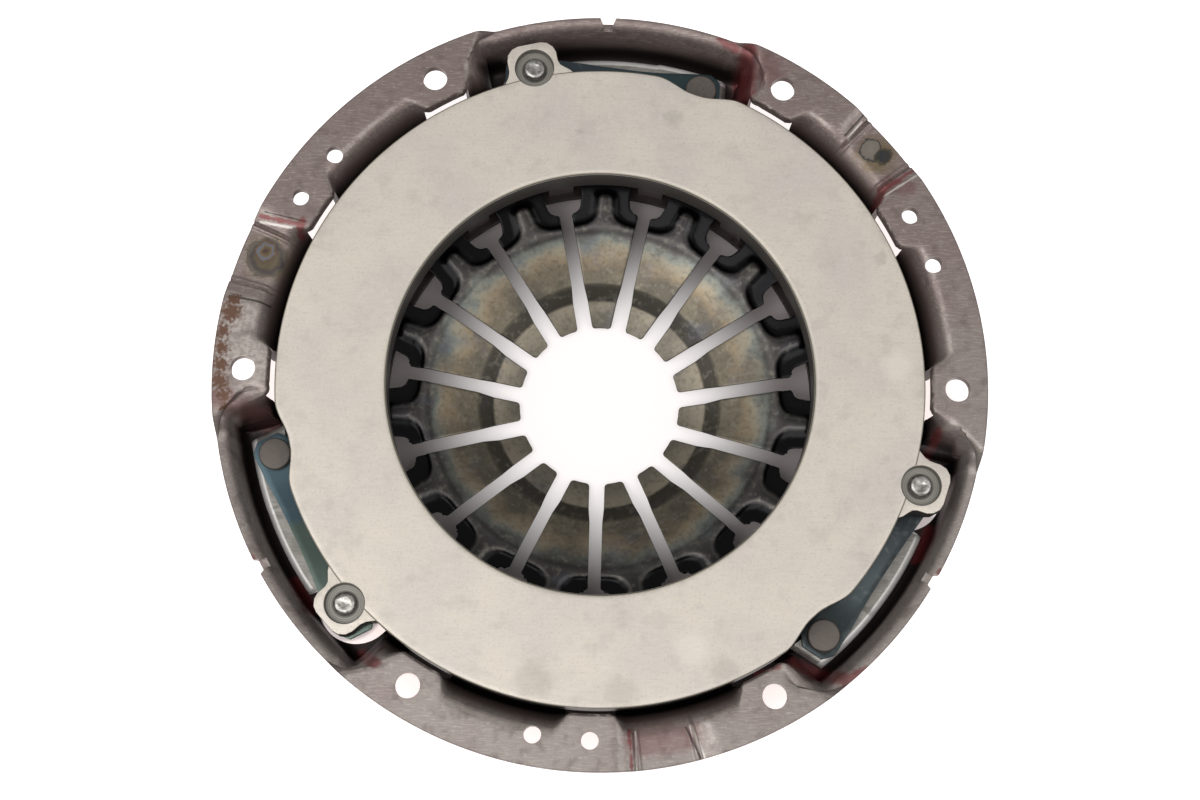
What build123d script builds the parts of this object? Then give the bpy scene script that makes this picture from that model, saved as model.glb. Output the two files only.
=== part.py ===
"""Diaphragm-spring clutch cover assembly, push type, for a 225 x 150 mm friction disc.

Frame: origin at the centre of the bolt circle, on the face of the cover that
bolts to the flywheel. +Z points to the flywheel. Angles are in degrees, counted
anticlockwise seen from the flywheel. All lengths are in millimetres.
"""
from build123d import *
from math import atan2, cos, hypot, radians, sin, tan
import os

# ---- cover stamping -------------------------------------------------------
SHEET = 4.0                 # thickness of the cover's steel sheet
FLANGE_WIDTH = 13.0         # from the flange's edge to its bend
WALL_LEAN = 6.2             # how far the upper wall leans in
WALL_Z = -12.0              # height where the wall turns steep
STEEP_LEAN = 1.1            # how far the steep wall leans in
DISH_Z = -27.0              # height of its foot
DISH_WIDTH = 6.8            # from there in to the flat crown
CENTRE_HOLE_INSET = 6.5     # hole in the crown, inwards of the pivot rings
BEND_CUT = 1.8              # how far each stamped bend rounds off its corner

# ---- holes on the bolt circle ---------------------------------------------
BOLT_CIRCLE_R = 125.0
FLANGE_MARGIN = 10.6        # flange beyond that circle
BOLT_COUNT = 6
BOLT_HOLE_R = 4.35
DOWEL_HOLE_R = 3.0
DOWEL_ANGLE = 30.0          # dowel holes, one in each third
SPARE_DOWEL_ANGLE = 21.0    # second set of small holes

# ---- pads and the windows pierced under them -------------------------------
PAD_REACH = 8.0             # from the bolt circle in to the inner edge of a pad
PAD_EDGE_HALF = 7.0         # half width of a pad at its inner edge
WINDOW_HALF = 8.8           # half width of a window in the wall
WINDOW_FOOT_Z = -30.5       # lowest point of a window

# ---- sunk step in each flange third ------------------------------------------
RECESS_ANGLE = 41.6
RECESS_HALF_ANGLE = 5.0
RECESS_DEPTH = 3.5
RECESS_WIDTH = 11.1

# ---- strap bays, one in each third --------------------------------------------
BAY_ANGLE = 90.0            # middle of the first bay
RIM_Z = -6.4                # height of the bay's outer rim
RIM_WIDTH = 3.0             # flat top of the rim
RIM_ROLL = 3.0              # how far the rim's roll leans in
RIM_ROLL_DEPTH = 7.5
BAY_WALL_LEAN = 0.8         # of the bay wall below the roll
BAY_FLOOR_Z = -28.0         # floor of the bay, up to the cover's own slope
BAY_TAIL_MARGIN = 12.9      # beyond the strap at its cover end
BAY_HEAD_MARGIN = 6.3       # beyond the strap at its lug end
BAY_INSET = 11.7            # inwards of the strap's rivets, where those margins are taken
BAY_TAIL_LEAN = 5.1         # how far the end walls lean in from there
BAY_HEAD_LEAN = 5.7
BAY_RUN = 22.5              # over this distance outwards
BAY_DRAFT = 10.0            # slope of the bay's end walls, degrees
NOTCH_ANGLE = 90.4          # notch in the rim of the bay
NOTCH_MOUTH_HALF = 2.9
NOTCH_ROOT_HALF = 1.65
NOTCH_NECK_DEPTH = 4.0
NOTCH_DEPTH = 6.2
NOTCH_FOOT_Z = -15.0

# ---- pressure plate ---------------------------------------------------------
PLATE_FACE_Z = -2.8         # friction face
PLATE_BORE_R = 75.2
PLATE_GAP = 2.2             # between its edge and the cover's upper wall
PLATE_THICKNESS = 15.0      # at the outer edge
PLATE_BORE_THICKNESS = 13.2
PLATE_STEP_REACH = 8.0      # relief over the cover's tabs, beyond the pivot rings
RIDGE_INSET = 3.5           # ridge that presses on the spring, inwards of its edge
RIDGE_HALF = 3.2
RIDGE_TIP_HALF = 1.2
EDGE_CHAMFER = 0.7

# ---- lugs of the pressure plate ------------------------------------------------
LUG_ANGLE = 103.3           # first lug, and its rivet
LUG_TOP_DROP = 0.6          # below the friction face
LUG_THICKNESS = 9.6
LUG_REACH = 12.8            # beyond the plate's edge
LUG_TOP_HALF = 8.9          # half width at the outer end
LUG_BASE_HALF = 12.6        # half width where it leaves the ring
LUG_NECK = 4.3              # length of the flared base beyond that edge
LUG_CORNER = 4.6
COUNTERBORE_R = 6.9
COUNTERBORE_DEPTH = 3.1
STRAP_RELIEF = 1.0          # plate cut away above the straps, beyond the lug seat
STRAP_SIDE_GAP = 1.2        # and beside them

# ---- strap packs --------------------------------------------------------------
STRAP_RIVET_REACH = 3.5     # rivets of a strap beyond the plate's edge
STRAP_SPAN_ANGLE = 30.0     # from the lug rivet back to the cover rivet
LEAF_COUNT = 3
LEAF_THICKNESS = 0.8
LEAF_HALF = 7.0
LEAF_WAIST_HALF = 6.3
LEAF_TAIL = 7.0             # beyond the cover rivet
LEAF_HEAD = 10.8            # beyond the lug rivet
LEAF_FLAT = 8.0             # flat length on the inner side of each rivet
LEAF_CORNER = 3.0
PLATFORM_Z = -21.9          # seat of the straps on the cover
PLATFORM_OUTER = 7.3        # its edges, outwards and inwards of the strap's rivets
PLATFORM_INNER = 2.3
PLATFORM_RIVET_INNER = 5.0
PLATFORM_END_GAP = 0.8      # platform beyond the end of the strap
PLATFORM_STEP = 1.2
PLATFORM_STEP_AT = -14.0    # along the strap, from its middle
PLATFORM_HEAD_AT = 18.5
PLATFORM_WALL = 2.5
ACCESS_HOLE_R = 13.5        # hole under each lug rivet, to set it
ACCESS_HOLE_INSET = 2.4     # inwards of the rivet

# ---- rivets ---------------------------------------------------------------------
FLAT_HEAD_R = 5.7
FLAT_HEAD_HEIGHT = 2.9
FLAT_SHANK_R = 3.2
FLAT_TAIL_R = 4.5
LUG_HEAD_R = 4.0
LUG_HEAD_SINK = 0.2         # crown of the head below the lug's top
LUG_SHANK_R = 3.0
LUG_TAIL_R = 5.2
TAIL_HEIGHT = 2.4
RIVET_CLEARANCE = 0.05
SCALLOP_CLEARANCE = 1.3     # between a flat rivet head and the plate's edge
SCALLOP_HALF_ANGLE = 8.6

# ---- diaphragm spring and its pivot rings ------------------------------------
FINGER_COUNT = 15
SPRING_GAP = 2.5            # between its edge and the slope of the cover
SPRING_THICKNESS = 2.6
CONE_ANGLE = 13.0           # free cone of the spring's disc
SHOULDER_INSET = 13.5       # inner end of the keyholes, inwards of the pivot rings
SHOULDER_Z = -33.8
KEYHOLE_INNER_HALF = 5.2
KEYHOLE_FLARE = 6.0         # length over which a keyhole widens
KEYHOLE_OUTER_HALF = 7.1
KEYHOLE_CORNER = 2.4
SLOT_HALF = 2.3
TIP_SLOT_HALF = 2.78
SLOT_TAPER_R = 45.0
TIP_R = 29.5
TIP_Z = -49.4
TIP_CREASE_R = 39.4
TIP_CREASE_Z = -45.2
BEND_START_R = 44.5
BEND_START_Z = -41.9
FINGER_ROOT_INSET = 6.5     # inwards of the keyholes
FINGER_RISE = 1.3           # fingers pressed proud of the disc
RIM_BAND = 5.7              # unpressed band round each keyhole
STEM_INSET = 6.6            # end of the raised stems, inwards of the pivot rings
PIVOT_INSET = 22.0          # pivot rings, inwards of the spring's edge
WIRE_R = 1.9
WIRE_STEP = 60.0            # degrees of wire section for each flat
SPRING_ANGLE = 6.0          # first slot

# ---- tabs of the cover that hold the pivot rings -------------------------------
TAB_THICKNESS = 2.6
TAB_HALF = 4.6
TAB_CLEARANCE = 0.2
TAB_CURL = 125.0            # degrees of wrap over the front ring
TAB_FLATS = 3               # flats in that wrap
KEYHOLE_GAP = 0.5           # between a tab and the outer end of its keyhole

# ---- sizes that follow from the ones above --------------------------------------
THIRDS = [0.0, 120.0, 240.0]
FLANGE_R = BOLT_CIRCLE_R + FLANGE_MARGIN
BEND_R = FLANGE_R - FLANGE_WIDTH
WALL_R = BEND_R - WALL_LEAN
DISH_R = WALL_R - STEEP_LEAN
CROWN_R = DISH_R - DISH_WIDTH
RECESS_R = FLANGE_R - RECESS_WIDTH
PAD_R = BOLT_CIRCLE_R - PAD_REACH
RIM_LIP_R = FLANGE_R - RIM_WIDTH
BAY_WALL_R = RIM_LIP_R - RIM_ROLL
BAY_WALL_Z = RIM_Z - RIM_ROLL_DEPTH
BAY_FOOT_R = BAY_WALL_R - BAY_WALL_LEAN
PLATE_R = WALL_R - PLATE_GAP
LUG_R = PLATE_R + LUG_REACH
LUG_NECK_R = PLATE_R + LUG_NECK
STRAP_RIVET_R = PLATE_R + STRAP_RIVET_REACH
SPRING_R = CROWN_R - SPRING_GAP
RIDGE_R = SPRING_R - RIDGE_INSET
PIVOT_R = SPRING_R - PIVOT_INSET
CENTRE_HOLE_R = PIVOT_R - CENTRE_HOLE_INSET
PLATE_STEP_R = PIVOT_R + PLATE_STEP_REACH
STEM_END_R = PIVOT_R - STEM_INSET
SHOULDER_R = PIVOT_R - SHOULDER_INSET
KEYHOLE_KNEE_R = SHOULDER_R + KEYHOLE_FLARE
FINGER_ROOT_R = SHOULDER_R - FINGER_ROOT_INSET
SPRING_DROP = SPRING_THICKNESS / cos(radians(CONE_ANGLE))
WIRE_RISE = WIRE_R / cos(radians(CONE_ANGLE))


def cone_z(radius):
    """Height of the disc's upper face at a radius."""
    return SHOULDER_Z + (radius - SHOULDER_R) * tan(radians(CONE_ANGLE))


FRONT_RING_Z = cone_z(PIVOT_R) + WIRE_RISE
REAR_RING_Z = cone_z(PIVOT_R) - SPRING_DROP - WIRE_RISE
CROWN_Z = REAR_RING_Z - WIRE_R
KEYHOLE_END_R = PIVOT_R - WIRE_R - TAB_CLEARANCE + KEYHOLE_GAP
LUG_TOP_Z = PLATE_FACE_Z - LUG_TOP_DROP
LUG_FOOT_Z = LUG_TOP_Z - LUG_THICKNESS
COUNTERBORE_Z = LUG_TOP_Z - COUNTERBORE_DEPTH
PACK = LEAF_COUNT * LEAF_THICKNESS
HALF_SPAN = STRAP_RIVET_R * sin(radians(STRAP_SPAN_ANGLE / 2))
STRAP_MID_R = STRAP_RIVET_R * cos(radians(STRAP_SPAN_ANGLE / 2))
STRAP_ANGLE = LUG_ANGLE - STRAP_SPAN_ANGLE / 2
PLATFORM_TAIL_AT = -HALF_SPAN - LEAF_TAIL - PLATFORM_END_GAP
SCALLOP_R = STRAP_RIVET_R - FLAT_HEAD_R - SCALLOP_CLEARANCE


def polar(radius, angle, z=0.0):
    """Point at a radius and an angle in degrees."""
    return (radius * cos(radians(angle)), radius * sin(radians(angle)), z)


def thirds(shape, angle=0.0):
    """The shape at an angle, and again in the other two thirds."""
    return [Rot(0, 0, angle + third) * shape for third in THIRDS]


def other_side(points, thickness):
    """Second side of a sheet whose first side runs through the points, square to it."""
    shifted = []
    for i, (x, z) in enumerate(points):
        before = points[max(i - 1, 0)]
        after = points[min(i + 1, len(points) - 1)]
        a = atan2(z - before[1], x - before[0]) if i else None
        b = atan2(after[1] - z, after[0] - x) if i < len(points) - 1 else None
        a = b if a is None else a
        b = a if b is None else b
        middle = (a + b) / 2
        reach = thickness / cos((b - a) / 2)
        shifted.append((x + reach * -sin(middle), z + reach * cos(middle)))
    return shifted


def rolled(points, index):
    """The points with one corner cut back along both of its sides."""
    x, z = points[index]
    cut = []
    for nx, nz in (points[index - 1], points[index + 1]):
        share = BEND_CUT / hypot(nx - x, nz - z)
        cut.append((x + share * (nx - x), z + share * (nz - z)))
    return [*points[:index], *cut, *points[index + 1:]]


def turned(*points):
    """Solid of revolution of a closed outline of radii and heights."""
    return revolve(Plane.XZ * make_face(Polyline(*points, close=True)), Axis.Z, 360)


def prism(outline, low, high):
    """A flat outline raised between two heights."""
    return extrude(Pos(0, 0, low) * outline, high - low)


def sector(inner, outer, half_angle):
    """Plan of a ring's sector about the X axis."""
    ring = Circle(outer) - Circle(inner)
    reach = outer * 2
    half = reach * tan(radians(half_angle))
    return ring & make_face(Polyline((0, 0), (reach, -half), (reach, half), (0, 0)))


# ---- cover -----------------------------------------------------------------------
def bay_plan(grow):
    """Plan of the first strap bay about the Y axis, grown sideways by a margin."""
    middle = STRAP_RIVET_R - BAY_INSET
    near, far = 0.8 * CROWN_R, 1.1 * FLANGE_R
    tail = HALF_SPAN + LEAF_TAIL + BAY_TAIL_MARGIN + grow
    head = HALF_SPAN + LEAF_HEAD + BAY_HEAD_MARGIN + grow
    tail_side = [(tail - BAY_TAIL_LEAN * (y - middle) / BAY_RUN, y) for y in (near, far)]
    head_side = [(-head + BAY_HEAD_LEAN * (y - middle) / BAY_RUN, y) for y in (far, near)]
    return make_face(Polyline(*tail_side, *head_side, close=True))


def platform_plan(shrink=0.0, inner=None):
    """Plan of a strap platform, the strap lying along X and its middle on the Y axis."""
    edge = Circle(STRAP_RIVET_R + PLATFORM_OUTER - shrink)
    ring = edge - Circle(inner or STRAP_RIVET_R - PLATFORM_INNER)
    rivet_ring = edge - Circle(inner or STRAP_RIVET_R - PLATFORM_RIVET_INNER)
    tail = -PLATFORM_TAIL_AT - shrink
    step = -PLATFORM_STEP_AT
    band = make_face(Polyline((-PLATFORM_HEAD_AT, 0), (tail, 0), (tail, FLANGE_R),
                              (-PLATFORM_HEAD_AT, FLANGE_R), close=True))
    seat = make_face(Polyline((step, 0), (tail, 0), (tail, FLANGE_R), (step, FLANGE_R), close=True))
    return (ring & band) + (rivet_ring & seat)


def make_cover():
    """Stamped cover: flange, wall, crown, pads, windows, bays, platforms and tabs."""
    above, beyond = 1.0, 1.1 * FLANGE_R
    wall = rolled([(FLANGE_R, 0), (BEND_R, 0), (WALL_R, WALL_Z), (DISH_R, DISH_Z),
                   (CROWN_R, CROWN_Z), (0, CROWN_Z)], 1)
    bay = rolled([(beyond, RIM_Z), (RIM_LIP_R, RIM_Z), (BAY_WALL_R, BAY_WALL_Z),
                  (BAY_FOOT_R, BAY_FLOOR_Z), (CROWN_R, BAY_FLOOR_Z)], 1)
    blank = turned(*other_side(wall, SHEET), (0, 0), (FLANGE_R, 0))
    cavity = turned(*wall[1:], (0, above), (wall[1][0], above))
    bay_blank = turned(*other_side(bay, SHEET), (CROWN_R, 0), (beyond, 0))
    bay_cavity = turned(*bay, (CROWN_R, above), (beyond, above))
    deep = -CROWN_Z + 2 * SHEET
    inside = extrude(Pos(0, 0, above) * bay_plan(0), deep, dir=(0, 0, -1), taper=BAY_DRAFT)
    outside = extrude(bay_plan(SHEET), deep, dir=(0, 0, -1), taper=BAY_DRAFT)
    turn = BAY_ANGLE - 90.0

    # sunk steps of the flange, with the sheet's thickness kept below them
    under = prism(sector(BEND_R - SHEET, FLANGE_R, RECESS_HALF_ANGLE + 1.6),
                  -SHEET - RECESS_DEPTH, -SHEET)
    cover = blank + thirds(under, RECESS_ANGLE)
    cover += thirds(bay_blank & outside & Cylinder(FLANGE_R, 4 * deep), turn)
    cover -= cavity
    cover -= thirds(bay_cavity & inside, turn)
    cover -= thirds(prism(sector(RECESS_R - SHEET, FLANGE_R + 1, RECESS_HALF_ANGLE),
                          -RECESS_DEPTH, above), RECESS_ANGLE)

    # pads that carry the holes, each over a window in the wall
    hole_angles = [60.0 * i for i in range(BOLT_COUNT)]
    dowels = [DOWEL_ANGLE + third for third in THIRDS]
    wide = WINDOW_HALF + (BEND_R - PAD_R) * 0.6
    pad = make_face(Polyline((PAD_R, -PAD_EDGE_HALF), (BEND_R, -wide), (BEND_R + 1, -wide),
                             (BEND_R + 1, wide), (BEND_R, wide), (PAD_R, PAD_EDGE_HALF), close=True))
    for angle in hole_angles + dowels:
        cover += Rot(0, 0, angle) * prism(pad, -SHEET, 0)
        window = Pos((PAD_R + BEND_R) / 2 - 2, 0, (WINDOW_FOOT_Z - SHEET) / 2) * Box(
            2 * (BEND_R - PAD_R) + 12, 2 * WINDOW_HALF, -WINDOW_FOOT_Z - SHEET)
        cover -= Rot(0, 0, angle) * window
    spare = [SPARE_DOWEL_ANGLE + third for third in THIRDS]
    for angles, radius in ((hole_angles, BOLT_HOLE_R), (dowels + spare, DOWEL_HOLE_R)):
        for angle in angles:
            cover -= Pos(*polar(BOLT_CIRCLE_R, angle)) * Cylinder(radius, 6 * SHEET)

    # strap platforms, raised from the bay floor and open below
    floor = BAY_FLOOR_Z - SHEET
    high = prism(platform_plan(), floor, PLATFORM_Z)
    lower = make_face(Polyline((-PLATFORM_HEAD_AT, 0), (-PLATFORM_STEP_AT, 0),
                               (-PLATFORM_STEP_AT, FLANGE_R), (-PLATFORM_HEAD_AT, FLANGE_R),
                               close=True))
    step = prism(lower, PLATFORM_Z - PLATFORM_STEP, PLATFORM_Z + 1)
    hollow = prism(platform_plan(PLATFORM_WALL, CROWN_R - 3), floor - 10, PLATFORM_Z - SHEET)
    hollow -= prism(lower, PLATFORM_Z - PLATFORM_STEP - SHEET, PLATFORM_Z)
    along = STRAP_ANGLE - 90.0
    cover += thirds(high - step, along)
    cover -= thirds(hollow, along)
    rivet_at = Pos(*polar(STRAP_RIVET_R, LUG_ANGLE - STRAP_SPAN_ANGLE, PLATFORM_Z))
    cover -= thirds(rivet_at * Cylinder(FLAT_SHANK_R + RIVET_CLEARANCE, 4 * SHEET))
    access_at = Pos(*polar(STRAP_RIVET_R - ACCESS_HOLE_INSET, LUG_ANGLE, CROWN_Z))
    cover -= thirds(access_at * Cylinder(ACCESS_HOLE_R, 2 * (PLATFORM_Z - SHEET - CROWN_Z)))

    # notch in the rim of each bay
    mouth, neck, root = FLANGE_R + 1, FLANGE_R - NOTCH_NECK_DEPTH, FLANGE_R - NOTCH_DEPTH
    side = [(mouth, NOTCH_MOUTH_HALF), (neck, NOTCH_ROOT_HALF), (root, NOTCH_ROOT_HALF)]
    notch = make_face(Polyline(*side, *[(x, -y) for x, y in reversed(side)], close=True))
    cover -= thirds(prism(notch, NOTCH_FOOT_Z, above), NOTCH_ANGLE)

    # centre hole, and the tabs bent up through the keyholes and over the front ring
    cover -= Cylinder(CENTRE_HOLE_R, 4 * deep)
    cover += make_tabs()
    return cover


def make_tabs():
    """Ring of tabs: an upright leg on the crown, curled outwards over the front ring."""
    inner = (WIRE_R + TAB_CLEARANCE) / cos(radians(TAB_CURL / TAB_FLATS / 2))
    outer = inner + TAB_THICKNESS
    foot = CROWN_Z - SHEET / 2
    curl = [180.0 - TAB_CURL * i / TAB_FLATS for i in range(TAB_FLATS + 1)]
    at = lambda radius, angle: (PIVOT_R + radius * cos(radians(angle)),
                                FRONT_RING_Z + radius * sin(radians(angle)))
    profile = make_face(Polyline(
        (PIVOT_R - outer, foot), (PIVOT_R - inner, foot), *[at(inner, angle) for angle in curl],
        *[at(outer, angle) for angle in reversed(curl)], close=True))
    tab = Pos(0, TAB_HALF, 0) * extrude(Plane.XZ * profile, 2 * TAB_HALF)
    pitch = 360.0 / FINGER_COUNT
    return [Rot(0, 0, SPRING_ANGLE + pitch * i) * tab for i in range(FINGER_COUNT)]


# ---- pressure plate ------------------------------------------------------------
def lug_plan():
    """Plan of a lug about the X axis, flared where it leaves the ring."""
    plan = make_face(Polyline(
        (PLATE_R - 8, -LUG_BASE_HALF - 4), (PLATE_R - 1.5, -LUG_BASE_HALF - 1),
        (LUG_NECK_R, -LUG_TOP_HALF), (LUG_R, -LUG_TOP_HALF),
        (LUG_R, LUG_TOP_HALF), (LUG_NECK_R, LUG_TOP_HALF),
        (PLATE_R - 1.5, LUG_BASE_HALF + 1), (PLATE_R - 8, LUG_BASE_HALF + 4), close=True))
    plan = fillet([v for v in plan.vertices() if v.X > LUG_R - 0.1], LUG_CORNER)
    return fillet([v for v in plan.vertices() if abs(v.X - LUG_NECK_R) < 0.1], LUG_CORNER)


def scallop_plan():
    """Plan cut from the plate's edge round a flat rivet head, about the X axis."""
    edge = PLATE_R + 0.02
    points = [polar(edge, -SCALLOP_HALF_ANGLE), polar(edge - 1.1, -0.62 * SCALLOP_HALF_ANGLE),
              polar(SCALLOP_R, -0.2 * SCALLOP_HALF_ANGLE), polar(SCALLOP_R, 0.2 * SCALLOP_HALF_ANGLE),
              polar(edge - 1.1, 0.62 * SCALLOP_HALF_ANGLE), polar(edge, SCALLOP_HALF_ANGLE)]
    curve = Spline(*[p[:2] for p in points],
                   tangents=[(sin(radians(SCALLOP_HALF_ANGLE)), cos(radians(SCALLOP_HALF_ANGLE))),
                             (-sin(radians(SCALLOP_HALF_ANGLE)), cos(radians(SCALLOP_HALF_ANGLE)))])
    first, last = points[0][:2], points[-1][:2]
    back = Polyline(last, (PLATE_R + 4, last[1]), (PLATE_R + 4, first[1]), first)
    return make_face([*curve.edges(), *back.edges()])


def make_plate():
    """Cast ring with a friction face, a fulcrum ridge, three lugs and three scallops."""
    rear = PLATE_FACE_Z - PLATE_THICKNESS
    bore_rear = PLATE_FACE_Z - PLATE_BORE_THICKNESS
    plate = turned(
        (RIDGE_R - RIDGE_HALF, rear), (RIDGE_R - RIDGE_TIP_HALF, cone_z(RIDGE_R - RIDGE_TIP_HALF)),
        (RIDGE_R + RIDGE_TIP_HALF, cone_z(RIDGE_R + RIDGE_TIP_HALF)), (RIDGE_R + RIDGE_HALF, rear),
        (PLATE_R, rear), (PLATE_R, PLATE_FACE_Z - EDGE_CHAMFER),
        (PLATE_R - EDGE_CHAMFER, PLATE_FACE_Z), (PLATE_BORE_R + EDGE_CHAMFER, PLATE_FACE_Z),
        (PLATE_BORE_R, PLATE_FACE_Z - EDGE_CHAMFER), (PLATE_BORE_R, bore_rear),
        (PLATE_STEP_R, bore_rear), (PLATE_STEP_R + PLATE_THICKNESS - PLATE_BORE_THICKNESS, rear))
    plate -= thirds(prism(scallop_plan(), rear - 1, PLATE_FACE_Z + 1), LUG_ANGLE - STRAP_SPAN_ANGLE)
    plate -= [strap_place(third) * relief for third in THIRDS for relief in strap_reliefs(rear)]
    plate += thirds(prism(lug_plan(), LUG_FOOT_Z, LUG_TOP_Z), LUG_ANGLE)
    at = Pos(STRAP_RIVET_R, 0, 0)
    plate -= thirds(at * prism(Circle(COUNTERBORE_R), COUNTERBORE_Z, PLATE_FACE_Z + 1), LUG_ANGLE)
    hole = Circle(LUG_SHANK_R + RIVET_CLEARANCE)
    return plate - thirds(at * prism(hole, LUG_FOOT_Z - 10, PLATE_FACE_Z), LUG_ANGLE)


def strap_reliefs(rear):
    """Room cut in the plate's rear over a strap lying along X, and over its rivet's tail."""
    inner = LEAF_HALF + STRAP_SIDE_GAP
    tail, head = HALF_SPAN + LEAF_TAIL + STRAP_SIDE_GAP, HALF_SPAN + LEAF_HEAD + STRAP_SIDE_GAP
    seat = HALF_SPAN - LEAF_FLAT
    reach = 3 * LEAF_HALF
    strap = make_face(Polyline((-tail, -reach), (seat, -reach), (seat, inner), (-tail, inner),
                               close=True))
    end = make_face(Polyline((seat, -reach), (head, -reach), (head, inner), (seat, inner), close=True))
    return [prism(strap, rear - 10, LUG_FOOT_Z + STRAP_RELIEF), prism(end, rear - 10, LUG_FOOT_Z)]


# ---- diaphragm spring and pivot rings -----------------------------------------------
def slot_plan():
    """Plan of one slot with its keyhole, along the X axis."""
    half = [(TIP_R - 5, TIP_SLOT_HALF), (TIP_CREASE_R, TIP_SLOT_HALF), (SLOT_TAPER_R, SLOT_HALF),
            (SHOULDER_R, SLOT_HALF), (SHOULDER_R, KEYHOLE_INNER_HALF),
            (KEYHOLE_KNEE_R, KEYHOLE_OUTER_HALF), (KEYHOLE_END_R, KEYHOLE_OUTER_HALF)]
    plan = make_face(Polyline(*half, *[(x, -y) for x, y in reversed(half)], close=True))
    wide = [v for v in plan.vertices() if abs(v.Y) > SLOT_HALF + 1]
    plan = chamfer([v for v in wide if v.X > KEYHOLE_KNEE_R + 1], KEYHOLE_CORNER)
    return fillet([v for v in plan.vertices() if v in wide and v.X < SHOULDER_R + 1], KEYHOLE_CORNER)


def band_plan():
    """Plan of the flat band round a keyhole, along the X axis."""
    half = [(SHOULDER_R, KEYHOLE_INNER_HALF), (KEYHOLE_KNEE_R, KEYHOLE_OUTER_HALF),
            (KEYHOLE_END_R, KEYHOLE_OUTER_HALF)]
    keyhole = make_face(Polyline(*half, *[(x, -y) for x, y in reversed(half)], close=True))
    return offset(keyhole, RIM_BAND, kind=Kind.INTERSECTION)


def make_spring():
    """Coned disc with raised fingers, parted by slots that end in keyholes."""
    disc_top = [(FINGER_ROOT_R - 2, cone_z(FINGER_ROOT_R - 2)), (SPRING_R, cone_z(SPRING_R))]
    disc_under = other_side(disc_top, -SPRING_THICKNESS)
    disc = turned(*disc_top, *reversed(disc_under))
    finger_top = [(TIP_R, TIP_Z), (TIP_CREASE_R, TIP_CREASE_Z), (BEND_START_R, BEND_START_Z),
                  (FINGER_ROOT_R, cone_z(FINGER_ROOT_R) + FINGER_RISE),
                  (STEM_END_R + 1, cone_z(STEM_END_R + 1) + FINGER_RISE)]
    finger_under = other_side(finger_top, -SPRING_THICKNESS)
    blade = make_face(Polyline(*finger_top, *reversed(finger_under), close=True))
    half_pitch = 180.0 / FINGER_COUNT
    reach = STEM_END_R * tan(radians(half_pitch))
    blade = Pos(0, reach, 0) * extrude(Plane.XZ * blade, 2 * reach)
    wedge = make_face(Polyline((0, 0), (2 * STEM_END_R, -2 * reach), (2 * STEM_END_R, 2 * reach),
                               close=True))
    band = Rot(0, 0, half_pitch) * band_plan()
    pressed = wedge & Circle(STEM_END_R)
    pressed = pressed - band - mirror(band, Plane.XZ)
    low, high = TIP_Z - 10, CROWN_Z + 30
    finger = blade & prism(pressed, low, high)
    spring = disc
    for i in range(FINGER_COUNT):
        spring -= Rot(0, 0, SPRING_ANGLE + half_pitch * (2 * i + 1)) * prism(pressed, low, high)
    for i in range(FINGER_COUNT):
        spring += Rot(0, 0, SPRING_ANGLE + half_pitch * (2 * i + 1)) * finger
    slot = prism(slot_plan(), low, high)
    return spring - [Rot(0, 0, SPRING_ANGLE + 2 * half_pitch * i) * slot for i in range(FINGER_COUNT)]


def make_ring(height, *lines):
    """Pivot ring of wire, its section a polygon with corners on its lines of contact."""
    lines = [*lines, lines[0] + 360]
    corners = []
    for a, b in zip(lines, lines[1:]):
        count = round((b - a) / WIRE_STEP)
        corners += [a + (b - a) * i / count for i in range(count)]
    return turned(*[(PIVOT_R + WIRE_R * cos(radians(c)), height + WIRE_R * sin(radians(c)))
                    for c in corners])


# ---- straps and rivets ------------------------------------------------------------
def leaf_line(rise):
    """Side view of a strap leaf's lower face, from its cover end to its lug end."""
    low = PLATFORM_Z + rise
    high = LUG_FOOT_Z - PACK + rise
    points = [(-HALF_SPAN - LEAF_TAIL, low), (-HALF_SPAN + LEAF_FLAT, low),
              (HALF_SPAN - LEAF_FLAT, high), (HALF_SPAN + LEAF_HEAD, high)]
    return Polyline(*points)


def leaf_plan():
    """Plan of a strap leaf, lying along X."""
    tail, head = -HALF_SPAN - LEAF_TAIL, HALF_SPAN + LEAF_HEAD
    run = HALF_SPAN - LEAF_FLAT
    side = [(tail, LEAF_HALF - LEAF_CORNER), (tail + LEAF_CORNER, LEAF_HALF), (-run, LEAF_HALF),
            (0, LEAF_WAIST_HALF), (run, LEAF_HALF), (head - LEAF_CORNER, LEAF_HALF),
            (head, LEAF_HALF - LEAF_CORNER)]
    return make_face(Polyline(*side, *[(x, -y) for x, y in reversed(side)], close=True))


def make_leaf(index):
    """One spring-steel leaf of a strap pack, lying along X at the origin's height."""
    rise = index * LEAF_THICKNESS
    under, over = leaf_line(rise), leaf_line(rise + LEAF_THICKNESS)
    ends = [Line(under @ 0, over @ 0), Line(under @ 1, over @ 1)]
    side = make_face([*under.edges(), *over.edges(), *[e for line in ends for e in line.edges()]])
    bar = Pos(0, LEAF_HALF + 1, 0) * extrude(Plane.XZ * side, 2 * LEAF_HALF + 2)
    leaf = bar & prism(leaf_plan(), PLATFORM_Z - 1, LUG_FOOT_Z + 1)
    leaf -= Pos(-HALF_SPAN, 0, PLATFORM_Z) * Cylinder(FLAT_SHANK_R + RIVET_CLEARANCE, 20)
    return leaf - Pos(HALF_SPAN, 0, LUG_FOOT_Z) * Cylinder(LUG_SHANK_R + RIVET_CLEARANCE, 20)


def strap_place(third):
    """From a strap lying along X to its place on the assembly."""
    return Rot(0, 0, STRAP_ANGLE + third - 90) * Pos(0, STRAP_MID_R, 0) * Rot(0, 0, 180)


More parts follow.
